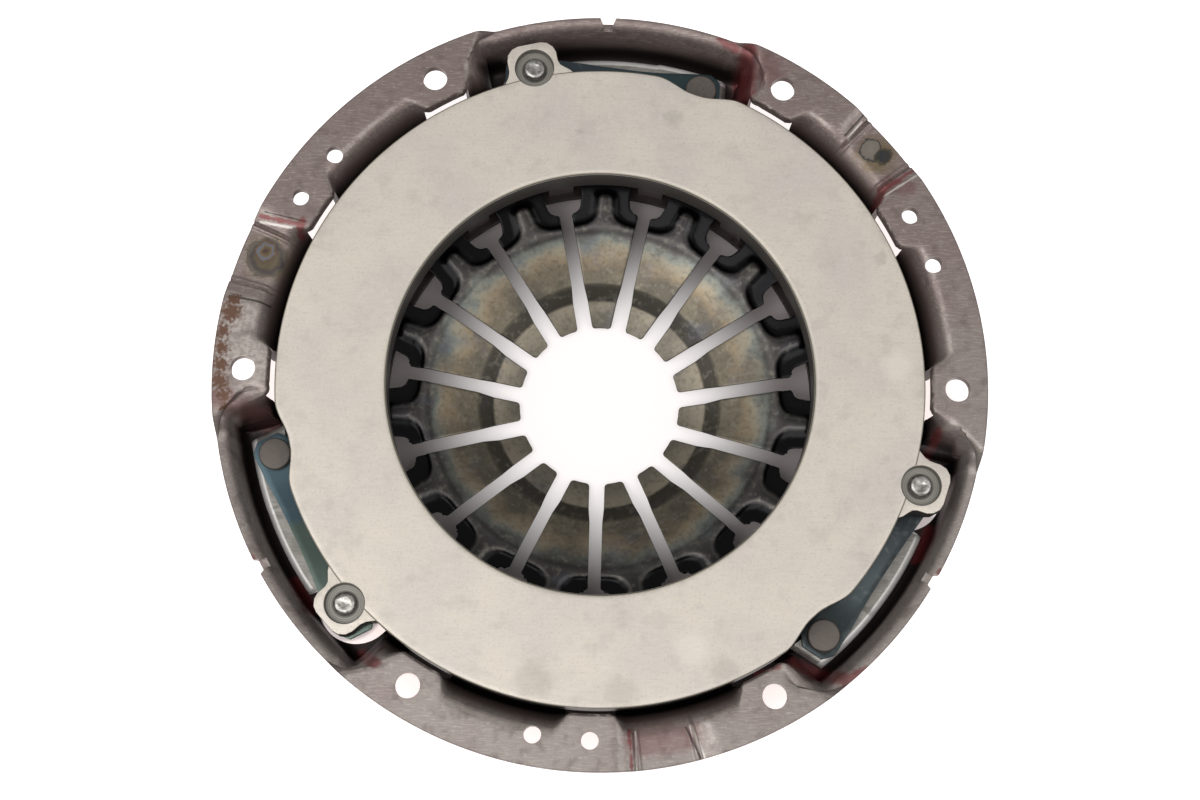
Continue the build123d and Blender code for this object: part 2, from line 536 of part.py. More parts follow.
def flat_rivet():
    """Cover rivet: flat head over the straps, tail set under the platform."""
    head_z = PLATFORM_Z + PACK
    seat_z = PLATFORM_Z - SHEET
    rivet = prism(Circle(FLAT_HEAD_R), head_z, head_z + FLAT_HEAD_HEIGHT)
    rivet = chamfer(rivet.edges().filter_by(GeomType.CIRCLE).sort_by(Axis.Z)[-1], 0.5)
    rivet += prism(Circle(FLAT_SHANK_R), seat_z - 1, head_z + 1)
    return rivet + prism(Circle(FLAT_TAIL_R), seat_z - TAIL_HEIGHT, seat_z)


def lug_rivet():
    """Lug rivet: domed head in the counterbore, tail set under the strap pack."""
    seat_z = LUG_FOOT_Z - PACK
    crown = LUG_TOP_Z - LUG_HEAD_SINK
    head = prism(Circle(LUG_HEAD_R), COUNTERBORE_Z, crown)
    rivet = chamfer(head.edges().filter_by(GeomType.CIRCLE).sort_by(Axis.Z)[-1], 0.7, 1.4)
    rivet += prism(Circle(LUG_SHANK_R), seat_z - 1, COUNTERBORE_Z + 1)
    return rivet + prism(Circle(LUG_TAIL_R), seat_z - TAIL_HEIGHT, seat_z)


# ---- nodes ------------------------------------------------------------------------
nodes = {
    "cover": make_cover(),
    "pressure_plate": make_plate(),
    "diaphragm_spring": make_spring(),
    "pivot_ring_rear": make_ring(REAR_RING_Z, -90, 90 + CONE_ANGLE),
    "pivot_ring_front": make_ring(FRONT_RING_Z, CONE_ANGLE - 90),
    "cover_rivets": Compound(thirds(
        Pos(*polar(STRAP_RIVET_R, LUG_ANGLE - STRAP_SPAN_ANGLE)) * flat_rivet())),
    "lug_rivets": Compound(thirds(Pos(*polar(STRAP_RIVET_R, LUG_ANGLE)) * lug_rivet())),
}
for number, third in enumerate(THIRDS, start=1):
    for index in range(LEAF_COUNT):
        leaf = strap_place(third) * make_leaf(index)
        nodes[f"strap_{number}_leaf_{index + 1}"] = leaf

os.makedirs("parts", exist_ok=True)
for name, shape in nodes.items():
    export_step(shape, f"parts/{name}.step")
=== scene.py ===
from math import asin, atan2, cos, degrees, hypot, pi, radians, sin, sqrt, tan

import bmesh
import bpy
from mathutils import Matrix, Vector


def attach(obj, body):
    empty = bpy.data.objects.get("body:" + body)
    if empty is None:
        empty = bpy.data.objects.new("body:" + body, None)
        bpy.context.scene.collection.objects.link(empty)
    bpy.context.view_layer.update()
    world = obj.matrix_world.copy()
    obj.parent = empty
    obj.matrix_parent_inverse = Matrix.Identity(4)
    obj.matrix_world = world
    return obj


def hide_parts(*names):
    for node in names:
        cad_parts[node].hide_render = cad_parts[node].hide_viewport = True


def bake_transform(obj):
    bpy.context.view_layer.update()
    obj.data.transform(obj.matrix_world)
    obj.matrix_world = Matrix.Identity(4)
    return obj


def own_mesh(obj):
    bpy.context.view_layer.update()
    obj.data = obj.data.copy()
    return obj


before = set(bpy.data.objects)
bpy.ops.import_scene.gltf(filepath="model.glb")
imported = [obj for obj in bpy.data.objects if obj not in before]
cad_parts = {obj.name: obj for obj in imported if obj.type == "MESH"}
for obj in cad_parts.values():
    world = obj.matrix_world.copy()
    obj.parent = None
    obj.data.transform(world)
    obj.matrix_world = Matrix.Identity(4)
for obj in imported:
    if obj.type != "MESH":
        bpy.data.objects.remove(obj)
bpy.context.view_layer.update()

# ---- stamped cover ------------------------------------------------------------
# One pressing of 4 mm bare steel sheet: a bolted flange, a steep wall, three deep
# bays for the straps and a flat crown with the centre hole. It is pierced after
# pressing, so the bends are rounded and the cut edges are sharp. Lengths in mm.
MM = 0.001
SHEET = 4.0
THIRDS = (0.0, 120.0, 240.0)
BOLT_CIRCLE_R = 125.0
BOLT_HOLE_R, DOWEL_HOLE_R = 4.35, 3.0
BOLT_ANGLES = tuple(60.0 * i for i in range(6))
DOWEL_ANGLE, SPARE_DOWEL_ANGLE = 30.0, 21.0
ACCESS_HOLE_R, ACCESS_HOLE_AT_R, LUG_ANGLE = 13.5, 115.3, 103.3
NOTCH_ANGLE = 90.4
BAY_ANGLE = 90.0
RECESS_ANGLE = 41.6
RECESS_HALF_ANGLE = 5.0
RECESS_DEPTH = 3.2
WALL_CORNERS = ((135.6, 0.0), (122.6, 0.0), (116.4, -12.0), (115.3, -27.0), (114.63, -28.0),
                (108.5, -37.2), (77.5, -37.2))
WALL_ROUNDS = (4.0, 12.0, 3.6, 0.2, 5.0)
PAD_CORNERS = ((135.6, 0.0), (116.0, 0.0), (115.7, -12.0), (115.3, -27.0), (114.63, -28.0),
               (108.5, -37.2), (77.5, -37.2))
PAD_ROUNDS = (1.2, 6.0, 3.6, 0.2, 5.0)
BAY_CORNERS = ((135.6, -6.4), (132.6, -6.4), (129.6, -13.9), (128.8, -28.0), (114.63, -28.0),
               (108.5, -37.2), (77.5, -37.2))
BAY_ROUNDS = (4.2, 15.0, 3.4, 2.5, 5.0)
STRAIGHT_STEPS = (6, 2, 4, 5, 3, 6)
ROUND_STEPS = (5, 3, 4, 2, 4)


def rounded_path(corners, radii):
    """Points along a path, each inner corner rounded to its radius."""
    points, start = [], Vector(corners[0])
    for i, radius in enumerate(radii):
        corner = Vector(corners[i + 1])
        back = (Vector(corners[i]) - corner).normalized()
        onward = (Vector(corners[i + 2]) - corner).normalized()
        half_turn = (pi - back.angle(onward)) / 2
        reach = radius * tan(half_turn)
        first, last = corner + back * reach, corner + onward * reach
        points += [start.lerp(first, k / STRAIGHT_STEPS[i]) for k in range(STRAIGHT_STEPS[i])]
        centre = corner + (back + onward).normalized() * radius / cos(half_turn)
        a, b = first - centre, last - centre
        turn = a.angle_signed(b) if a.length > 1e-9 else 0.0
        for k in range(ROUND_STEPS[i]):
            points.append(centre + Matrix.Rotation(-turn * k / ROUND_STEPS[i], 2) @ a)
        start = last
    end = Vector(corners[-1])
    points += [start.lerp(end, k / STRAIGHT_STEPS[-1]) for k in range(STRAIGHT_STEPS[-1] + 1)]
    return points


def smooth(share):
    """0 to 1 with soft ends."""
    share = min(max(share, 0.0), 1.0)
    return share * share * (3 - 2 * share)


def path_edges(bm, points):
    """Vertices and edges of an open path in the XZ plane."""
    verts = [bm.verts.new((x, 0.0, z)) for x, z in points]
    return verts + [bm.edges.new(pair) for pair in zip(verts, verts[1:])]


def finish_piece(name, bm, sharp=35.0):
    """A shaded object in metres from a mesh drawn in millimetres."""
    bmesh.ops.scale(bm, vec=(MM, MM, MM), verts=bm.verts)
    mesh = bpy.data.meshes.new(name)
    bm.to_mesh(mesh)
    bm.free()
    piece = bpy.data.objects.new(name, mesh)
    bpy.context.scene.collection.objects.link(piece)
    mesh.shade_smooth()
    mesh.set_sharp_from_angle(angle=radians(sharp))
    return piece


def settle(piece, sharp=35.0):
    """The piece with its modifiers made part of its mesh."""
    graph = bpy.context.evaluated_depsgraph_get()
    mesh = bpy.data.meshes.new_from_object(piece.evaluated_get(graph))
    piece.modifiers.clear()
    piece.data = mesh
    mesh.materials.clear()
    mesh.shade_smooth()
    mesh.set_sharp_from_angle(angle=radians(sharp))
    return piece


def combine(piece, tool, operation):
    """Cut the piece with a tool, or join the tool to it, and drop the tool."""
    step = piece.modifiers.new("combine", "BOOLEAN")
    step.operation = operation
    step.solver = "MANIFOLD"
    step.object = tool
    settle(piece)
    bpy.data.objects.remove(tool)


def only(kind, geometry):
    """The vertices, edges or faces among some geometry."""
    return [part for part in geometry if isinstance(part, kind)]


def spread(bm, angles):
    """Copies of the whole mesh turned about Z to each angle, in place of it."""
    first = list(bm.verts) + list(bm.edges) + list(bm.faces)
    copies = [bmesh.ops.duplicate(bm, geom=first)["geom"] for _ in angles[1:]]
    for geometry, angle in zip([first] + copies, angles):
        bmesh.ops.rotate(bm, verts=only(bmesh.types.BMVert, geometry), cent=(0, 0, 0),
                         matrix=Matrix.Rotation(radians(angle), 3, "Z"))


def raise_outline(bm, outline, low, high):
    """A flat outline raised to a closed block between two heights."""
    face = bm.faces.new([bm.verts.new((x, y, low)) for x, y in outline])
    made = bmesh.ops.extrude_face_region(bm, geom=[face], use_keep_orig=True)["geom"]
    bmesh.ops.translate(bm, verts=only(bmesh.types.BMVert, made), vec=(0, 0, high - low))
    bmesh.ops.recalc_face_normals(bm, faces=bm.faces)


# columns of the pressing, close together where the bays and the sunk steps end
COLUMN_STRETCHES = ((0, 36, 54), (36, 38, 14), (38, 45.2, 9), (45.2, 47.2, 14), (47.2, 60, 19),
                    (60, 74, 40), (74, 104, 37), (104, 116, 34), (116, 120, 6))
third_columns = [start + (end - start) * i / count
                 for start, end, count in COLUMN_STRETCHES for i in range(count)]
columns = [third + angle for third in THIRDS for angle in third_columns]
wall_path = rounded_path(WALL_CORNERS, WALL_ROUNDS)
pad_path = rounded_path(PAD_CORNERS, PAD_ROUNDS)
bay_path = rounded_path(BAY_CORNERS, BAY_ROUNDS)
FLANGE_ROWS = STRAIGHT_STEPS[0]
BEND_ROWS = FLANGE_ROWS + ROUND_STEPS[0] + STRAIGHT_STEPS[1] + ROUND_STEPS[1]


def bay_share(row, radius, angle):
    """How far a point of the pressing lies in a bay, from 0 on the plain wall to 1."""
    turn = radians((angle - BAY_ANGLE + 60) % 120 - 60)
    x, y = -radius * sin(turn), radius * cos(turn)
    tail_edge = 50.4 - (y - 106.0) * 0.227
    head_edge = 47.6 - (y - 106.0) * 0.253
    flange_part = min(max((BEND_ROWS - row) / (BEND_ROWS - FLANGE_ROWS), 0.0), 1.0)
    inward = 1.0 + 4.0 * (1 - flange_part)
    tail_out = 0.6 + 7.0 * flange_part
    head_out = 0.6 + 6.0 * flange_part
    if x > 0:
        return smooth((tail_edge + tail_out - x) / (tail_out + inward))
    return smooth((head_edge + head_out + x) / (head_out + inward))


def pad_share(angle):
    """How far the flange reaches inwards at an angle, from 0 to the full tongue of a pad."""
    away = abs((angle + 15) % 30 - 15)
    if abs((angle - BAY_ANGLE + 60) % 120 - 60) < 15:
        return 0.0
    return 1 - smooth((124.0 * sin(radians(away)) - 7.0) / 6.5)


def recess_drop(angle):
    """How far the flange is sunk at an angle: a coined floor, a raised lip, soft slopes."""
    away = abs((angle - RECESS_ANGLE + 60) % 120 - 60) - RECESS_HALF_ANGLE
    if away > 0.1:
        return 1.5 * (1 - smooth((away - 0.1) / 2.6))
    lip = 0.8 * (1 - smooth(abs(away + 0.75) / 0.55))
    return 1.5 + (RECESS_DEPTH - 1.5 - lip) * smooth((0.1 - away) / 0.3)


bm = bmesh.new()
path = path_edges(bm, [(p.x, p.y) for p in wall_path])
bmesh.ops.spin(bm, geom=path, cent=(0, 0, 0), axis=(0, 0, 1), dvec=(0, 0, 0), angle=2 * pi,
               steps=len(columns), use_merge=True)
for v in bm.verts:
    radius = hypot(v.co.x, v.co.y)
    row = min(range(len(wall_path)), key=lambda k: abs(wall_path[k].x - radius)
              + abs(wall_path[k].y - v.co.z))
    angle = columns[round(degrees(atan2(v.co.y, v.co.x)) % 360 / 360 * len(columns)) % len(columns)]
    plain = wall_path[row].lerp(pad_path[row], pad_share(angle))
    share = bay_share(row, 122.0, angle)
    for _ in range(3):
        place = plain.lerp(bay_path[row], share)
        share = bay_share(row, place.x, angle)
    radius, height = place
    height -= recess_drop(angle) * (1 - smooth(-height / 7.0))
    v.co = (radius * cos(radians(angle)), radius * sin(radians(angle)), height)
bmesh.ops.recalc_face_normals(bm, faces=bm.faces)
up = next(f for f in bm.faces if f.calc_center_median().length > 130)
if up.normal.z < 0:
    bmesh.ops.reverse_faces(bm, faces=bm.faces)
cover = finish_piece("stamped_cover", bm)
skin = cover.modifiers.new("sheet", "SOLIDIFY")
skin.thickness = SHEET * MM
skin.offset = -1
skin.use_quality_normals = True
settle(cover)
for v in cover.data.vertices:
    v.co.xy *= min(1.0, WALL_CORNERS[0][0] * MM / v.co.xy.length)

# windows under the pads, access holes, notches and the holes of the bolt circle
PAD_ANGLES = list(BOLT_ANGLES) + [DOWEL_ANGLE + third for third in THIRDS]
WINDOW_MIDDLE_R, WINDOW_DEEP, WINDOW_WIDE, WINDOW_LOW_Z = 118.0, 24.0, 17.6, -30.5
bm = bmesh.new()
for angle in PAD_ANGLES:
    place = (Matrix.Rotation(radians(angle), 4, "Z")
             @ Matrix.Translation((WINDOW_MIDDLE_R, 0, (WINDOW_LOW_Z - SHEET) / 2)))
    bmesh.ops.create_cube(bm, size=1.0, matrix=place @ Matrix.Diagonal(
        (WINDOW_DEEP, WINDOW_WIDE, -SHEET - WINDOW_LOW_Z, 1.0)))
combine(cover, finish_piece("window_cutter", bm), "DIFFERENCE")


def round_cutter(bm, radius, at_r, angle, low, high, sides=48):
    """An upright round punch at a radius and angle."""
    place = Matrix.Rotation(radians(angle), 4, "Z") @ Matrix.Translation((at_r, 0, (low + high) / 2))
    bmesh.ops.create_cone(bm, cap_ends=True, segments=sides, radius1=radius, radius2=radius,
                          depth=high - low, matrix=place)


def notch_cutter(bm, side, foot):
    """An upright punch in each bay's rim from one side of its outline, mirrored."""
    for third in THIRDS:
        turn = Matrix.Rotation(radians(NOTCH_ANGLE + third), 2)
        outline = side + [(x, -y) for x, y in reversed(side)]
        raise_outline(bm, [turn @ Vector(p) for p in outline], foot, 2.0)


bm = bmesh.new()
for angle in BOLT_ANGLES:
    round_cutter(bm, BOLT_HOLE_R, BOLT_CIRCLE_R, angle, -16, 2)
for third in THIRDS:
    round_cutter(bm, DOWEL_HOLE_R, BOLT_CIRCLE_R, DOWEL_ANGLE + third, -14, 2, 36)
    round_cutter(bm, DOWEL_HOLE_R, BOLT_CIRCLE_R, SPARE_DOWEL_ANGLE + third, -14, 2, 36)
    round_cutter(bm, ACCESS_HOLE_R, ACCESS_HOLE_AT_R, LUG_ANGLE + third, -45, -23, 64)
notch_cutter(bm, [(137.0, 3.2), (135.4, 2.8), (134.2, 2.3)], -15.0)
combine(cover, finish_piece("punches", bm), "DIFFERENCE")
bm = bmesh.new()
notch_cutter(bm, [(136.5, 2.9), (133.0, 1.8), (130.6, 1.65), (129.8, 1.3), (129.4, 0.6)], -9.3)
combine(cover, finish_piece("notch_grooves", bm), "DIFFERENCE")
edge = cover.modifiers.new("edge", "BEVEL")
edge.width = 0.3 * MM
edge.segments = 2
edge.limit_method = "ANGLE"
edge.angle_limit = radians(50)
settle(cover)


def node(tree, kind, give=0, **values):
    """Output of a new shader node; small names are its settings, capital ones its inputs."""
    made = tree.nodes.new("ShaderNode" + kind)
    for name, value in values.items():
        if name[0].islower():
            setattr(made, name, value)
        elif isinstance(value, bpy.types.NodeSocket):
            tree.links.new(value, made.inputs[name.replace("_", " ")])
        else:
            made.inputs[name.replace("_", " ")].default_value = value
    return made.outputs[give]


def new_finish(name, metallic, roughness):
    """A material, its node tree, its shader's inputs and its surface coordinates in mm."""
    finish = bpy.data.materials.new(name)
    finish.use_nodes = True
    tree = finish.node_tree
    shader = tree.nodes["Principled BSDF"].inputs
    shader["Metallic"].default_value = metallic
    shader["Roughness"].default_value = roughness
    coords = node(tree, "TexCoord", "Object")
    return finish, tree, shader, node(tree, "Mapping", Vector=coords, Scale=(1000, 1000, 1000))


def fade(tree, value, start, end, low=0.0, high=1.0):
    """A value read as a soft step from low at start to high at end."""
    return node(tree, "MapRange", interpolation_type="SMOOTHSTEP", Value=value, From_Min=start,
                From_Max=end, To_Min=low, To_Max=high)


def mottle(tree, mm, size, detail=3.0, turn=0.0, stretch=1.0):
    """Noise with blotches of a size in mm, drawn out along a direction."""
    turned = node(tree, "Mapping", Vector=mm, Rotation=(0, 0, radians(turn)), Scale=(1 / stretch, 1, 1))
    return node(tree, "TexNoise", "Fac", Vector=turned, Scale=1 / size, Detail=detail)


def maths(tree, operation, first, second=0.0):
    """A sum, product or other step on two values."""
    made = tree.nodes.new("ShaderNodeMath")
    made.operation = operation
    for socket, value in zip(made.inputs, (first, second)):
        if isinstance(value, bpy.types.NodeSocket):
            tree.links.new(value, socket)
        else:
            socket.default_value = value
    return made.outputs[0]


def distance_to(tree, mm, point):
    """Distance of the surface from a point in mm."""
    made = node(tree, "VectorMath", "Value", operation="DISTANCE", Vector=mm)
    made.node.inputs[1].default_value = point
    return made


def colour_ramp(tree, value, stops):
    """A value read as a colour, from stops that run from 0 to 1."""
    tint = node(tree, "ValToRGB", Fac=value)
    ramp = tint.node.color_ramp
    for at, shade in stops[1:-1]:
        ramp.elements.new(at)
    for stop, (at, shade) in zip(ramp.elements, stops):
        stop.position, stop.color = at, (*shade, 1)
    return tint


def over(tree, below, share, above):
    """One colour laid over another."""
    mix = {"Color1": below, "Color2": above}
    mix = {name: value if isinstance(value, bpy.types.NodeSocket) else (*value, 1)
           for name, value in mix.items()}
    return node(tree, "MixRGB", Fac=share, **mix)


def patches(tree, mm, places, ragged, size=3.0):
    """Where any of some round patches lies, their edges torn by noise."""
    torn = maths(tree, "MULTIPLY", maths(tree, "SUBTRACT", mottle(tree, mm, size, 4), 0.5), ragged)
    total = None
    for x, y, z, radius in places:
        gap = distance_to(tree, mm, (x, y, z))
        share = fade(tree, maths(tree, "ADD", gap, torn), radius, radius * 0.35)
        total = share if total is None else maths(tree, "MAXIMUM", total, share)
    return total


def marks(tree, mm, runs, ragged, size=3.0):
    """Where any of some straight marks runs: two ends and a half width, their edges torn by noise."""
    torn = maths(tree, "MULTIPLY", maths(tree, "SUBTRACT", mottle(tree, mm, size, 4), 0.5), ragged)
    flat = node(tree, "VectorMath", operation="MULTIPLY", Vector=mm)
    flat.node.inputs[1].default_value = (1, 1, 0)
    total = None
    for x0, y0, x1, y1, half in runs:
        run = Vector((x1 - x0, y1 - y0, 0))
        offset = node(tree, "VectorMath", operation="SUBTRACT", Vector=flat)
        offset.node.inputs[1].default_value = (x0, y0, 0)
        share = node(tree, "VectorMath", "Value", operation="DOT_PRODUCT", Vector=offset)
        share.node.inputs[1].default_value = run / run.length_squared
        nearest = node(tree, "VectorMath", operation="SCALE", Vector=run,
                       Scale=maths(tree, "MINIMUM", maths(tree, "MAXIMUM", share, 0.0), 1.0))
        gap = node(tree, "VectorMath", "Value", operation="DISTANCE", Vector=offset)
        tree.links.new(nearest, gap.node.inputs[1])
        share = fade(tree, maths(tree, "ADD", gap, torn), half, half * 0.3)
        total = share if total is None else maths(tree, "MAXIMUM", total, share)
    return total


def polar_radius(tree, mm):
    """Distance from the part's axis in mm."""
    flat = node(tree, "VectorMath", operation="MULTIPLY", Vector=mm)
    flat.node.inputs[1].default_value = (1, 1, 0)
    return node(tree, "VectorMath", "Value", operation="LENGTH", Vector=flat)


def grain(tree, shader, height, strength, depth=0.1):
    """A fine relief on the surface, its depth in mm."""
    bump = node(tree, "Bump", Height=height, Strength=strength, Distance=depth * MM)
    tree.links.new(bump, shader["Normal"])


# bare sheet with sanding marks, painted shade that darkens it with depth, and stray red primer
PINK_STEEL, GREY_STEEL = (0.20, 0.153, 0.142), (0.255, 0.222, 0.203)
# the brown and near black tones are painted shade; the pale one is wear and also a painted highlight
PALE_WEAR_AND_SHEEN, DARK_DEPTH_SHADE, BROWN_DEPTH_SHADE = (0.47, 0.43, 0.39), (0.020, 0.013, 0.012), (0.12, 0.085, 0.075)
RED_PRIMER, RUST = (0.15, 0.017, 0.019), (0.115, 0.06, 0.038)
PRIMER_RUNS = (
    (50, 124, 49.5, 107, 4.5), (40, 128.5, 46, 125, 2.2), (-17, 121, -7, 121.5, 3.0),
    (97.3, 71.2, 110, 80, 1.1), (97, 67.5, 98.5, 72, 2.2), (-122, 55.4, -107, 52.4, 1.1),
    (-108, 50, -107, 54, 2.0), (13.3, -121.5, 14.6, -135, 0.8), (69, -95.5, 87, -101.5, 4.2),
    (88, -101.5, 94, -98, 2.2), (114.5, -57, 119, -46, 2.6), (118.6, -65.5, 119.8, -63, 1.3),
    (-119, -65.5, -117, -68, 1.5), (-106, -71, -99, -82, 2.6), (-81, -96.5, -74, -101, 3.0),
    (117.5, -22, 119, -14, 2.4), (59, -99, 63, -98, 2.0))
TINTED_RUNS = ((17, -125, 33, -122.5, 7.5), (51, 118, 58, 115, 8), (-133, -11, -117, -15, 5),
               (100, 74, 107, 73, 5))
# painted highlights along the raised lips of the sunk steps
RIDGE_HIGHLIGHT_RUNS = (
    (86.2, 91.0, 91, 97.2, 0.6), (-122, 53.4, -111, 51.3, 0.7), (15.3, -121.5, 16.4, -135, 0.5),
    (34.2, -119, 38.8, -129.5, 0.9), (99, 69.6, 112, 78.6, 0.5))
# painted shade on the walls of the sunk steps
STEP_SHADE_RUNS = ((85.1, 92.0, 92.2, 100.4, 0.55), (32.6, -119.5, 37.6, -129.5, 0.5),
             (-120.5, 56.8, -106, 53.6, 0.4), (-131, 25.8, -117.5, 23.5, 0.6))
RUST_PLACES = ((-130.2, 20, 0, 5.2), (-129.5, 24, 0, 3.4), (-132.6, 13, 0, 3.4), (-132.8, 7, 0, 3.6),
               (-132.9, 1, 0, 3.9), (-132.6, -5, 0, 4.2), (-131, -9.5, 0, 3.4), (-130.4, -14, 0, 2.2))
bare_steel, tree, shader, mm = new_finish("bare_steel", 0.55, 0.45)
radius = polar_radius(tree, mm)
height = node(tree, "SeparateXYZ", "Z", Vector=mm)
across = node(tree, "SeparateXYZ", "Y", Vector=mm)
greyness = maths(tree, "ADD", mottle(tree, mm, 24), fade(tree, across, 110, -60, -0.3, 0.2))
steel = over(tree, PINK_STEEL, fade(tree, greyness, 0.25, 0.85), GREY_STEEL)
for turn, size, share in ((-58, 0.45, 0.3), (35, 0.5, 0.15)):
    scratch = fade(tree, mottle(tree, mm, size, 3, turn, 10), 0.5, 0.7, 0.0, share)
    steel = over(tree, steel, scratch, PALE_WEAR_AND_SHEEN)
steel = over(tree, steel, fade(tree, mottle(tree, mm, 1.3, 5), 0.55, 0.75, 0.0, 0.3), PALE_WEAR_AND_SHEEN)
steel = over(tree, steel, fade(tree, mottle(tree, mm, 5, 5), 0.5, 0.72, 0.0, 0.5), (0.115, 0.085, 0.078))
worn = patches(tree, mm, ((-125, 4, 0, 13), (-128, 18, 0, 9), (-119, 0, 0, 6)), 8, 5)
worn = maths(tree, "MULTIPLY", worn, fade(tree, mottle(tree, mm, 1.6, 6), 0.4, 0.6, 0.2, 0.6))
steel = over(tree, steel, worn, PALE_WEAR_AND_SHEEN)
# painted highlight: a pale line where the flange starts to bend down
bend_highlight = maths(tree, "MULTIPLY", fade(tree, height, -0.04, -0.2), fade(tree, height, -1.0, -0.5))
bend_highlight = maths(tree, "MULTIPLY", bend_highlight, fade(tree, mottle(tree, mm, 4), 0.36, 0.62))
steel = over(tree, steel, maths(tree, "MULTIPLY", bend_highlight, 0.3), PALE_WEAR_AND_SHEEN)
# painted shade: brown, then near black, deeper into the bays and down the wall, held off the bays' rims
rim = fade(tree, radius, 125.5, 129.0, 0.0, 8.5)
depth = maths(tree, "ADD", maths(tree, "MULTIPLY", height, -1.0), maths(tree, "MULTIPLY", rim, -1.0))
depth = maths(tree, "ADD", depth, maths(tree, "MULTIPLY", mottle(tree, mm, 9), 1.6))
steel = over(tree, steel, fade(tree, depth, 3.2, 9.0), BROWN_DEPTH_SHADE)
steel = over(tree, steel, fade(tree, depth, 7.0, 15.0), DARK_DEPTH_SHADE)
# the reddish tints and red primer are the sheet's own; the dark step lines are painted shade, the pale lines
# painted highlights
for runs, ragged, share, shade in ((TINTED_RUNS, 6.0, 0.5, (0.15, 0.062, 0.06)),
                                   (STEP_SHADE_RUNS, 0.5, 0.8, (0.02, 0.015, 0.013)),
                                   (RIDGE_HIGHLIGHT_RUNS, 0.8, 0.75, (0.60, 0.56, 0.52)),
                                   (PRIMER_RUNS, 2.6, 0.68, RED_PRIMER)):
    steel = over(tree, steel, maths(tree, "MULTIPLY", marks(tree, mm, runs, ragged), share), shade)
sheared = maths(tree, "MULTIPLY", fade(tree, radius, 117.3, 116.4), fade(tree, height, -4.0, -0.6))
sheared = maths(tree, "MAXIMUM", sheared, fade(tree, radius, 134.9, 135.6, 0.0, 0.6))
torn = fade(tree, mottle(tree, mm, 2.5), 0.3, 0.5, 0.25, 0.9)
steel = over(tree, steel, maths(tree, "MULTIPLY", sheared, torn), (0.05, 0.033, 0.03))
steel = over(tree, steel, patches(tree, mm, RUST_PLACES, 9.0, 1.3), RUST)
burnt = patches(tree, mm, ((96.5, 85.5, -3, 9.5), (-119.4, 40.8, -3, 10.5)), 7)
steel = over(tree, steel, maths(tree, "MULTIPLY", burnt, 0.75), (0.135, 0.095, 0.035))
# spots of weld heat in two of the sunk steps: place, size and rings of colour
BURN_SPOTS = (
    (-119.4, 40.8, 7.6, ((0, (0.06, 0.05, 0.04)), (0.45, (0.11, 0.085, 0.05)),
                         (0.7, (0.05, 0.042, 0.045)), (0.88, (0.12, 0.10, 0.08)), (1, (0.05, 0.04, 0.03)))),
    (-119.8, 43.2, 4.2, ((0, (0.06, 0.035, 0.03)), (0.4, (0.15, 0.11, 0.06)), (0.6, (0.12, 0.14, 0.19)),
                         (0.8, (0.14, 0.09, 0.05)), (1, (0.05, 0.04, 0.045)))),
    (94.6, 87.6, 4.3, ((0, (0.20, 0.18, 0.15)), (0.7, (0.17, 0.15, 0.13)), (0.85, (0.03, 0.03, 0.03)),
                       (1, (0.09, 0.08, 0.05)))),
    (99.2, 85.2, 3.4, ((0, (0.02, 0.026, 0.03)), (0.6, (0.025, 0.025, 0.025)), (1, (0.09, 0.075, 0.04)))))
for x, y, size, shades in BURN_SPOTS:
    torn = maths(tree, "SUBTRACT", mottle(tree, mm, 2.2, 4), 0.5)
    gap = maths(tree, "ADD", distance_to(tree, mm, (x, y, -RECESS_DEPTH)), maths(tree, "MULTIPLY", torn, 4.0))
    tint = colour_ramp(tree, maths(tree, "DIVIDE", gap, size), shades)
    steel = over(tree, steel, fade(tree, gap, size, size * 0.9, 0.0, 0.92), tint)
tree.links.new(steel, shader["Base Color"])
grain(tree, shader, maths(tree, "ADD", mottle(tree, mm, 1.1, 5), mottle(tree, mm, 0.5, 2, -58, 8)), 0.25)
cover.data.materials.append(bare_steel)
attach(cover, "cover")
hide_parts("cover")


# ---- strap platforms ------------------------------------------------------------
# Three seats raised in the bays of the same pressing. The straps are riveted to
# their high end; a small step down leaves the middle of a strap free. The outer
# bend is drawn hard, with a painted highlight on it and painted shade below.
STRAP_ANGLE = 88.3
STRAP_MID_R = 113.69
HALF_SPAN = 30.46
PLATFORM_R = 126.0
PLATFORM_INNER_R, SEAT_INNER_R = 115.4, 112.7
PLATFORM_Z = -21.9
PLATFORM_STEP, PLATFORM_STEP_AT = 1.2, 14.0
PLATFORM_FOOT_Z = -29.5
PLATFORM_TAIL, PLATFORM_HEAD = 39.8, -19.5
PLATFORM_ROLL = 2.3


def rolled_off(distance, radius):
    """Drop of a rounded edge at a distance from it."""
    near = max(radius - distance, 0.0)
    return radius - sqrt(max(radius ** 2 - near ** 2, 0.0))


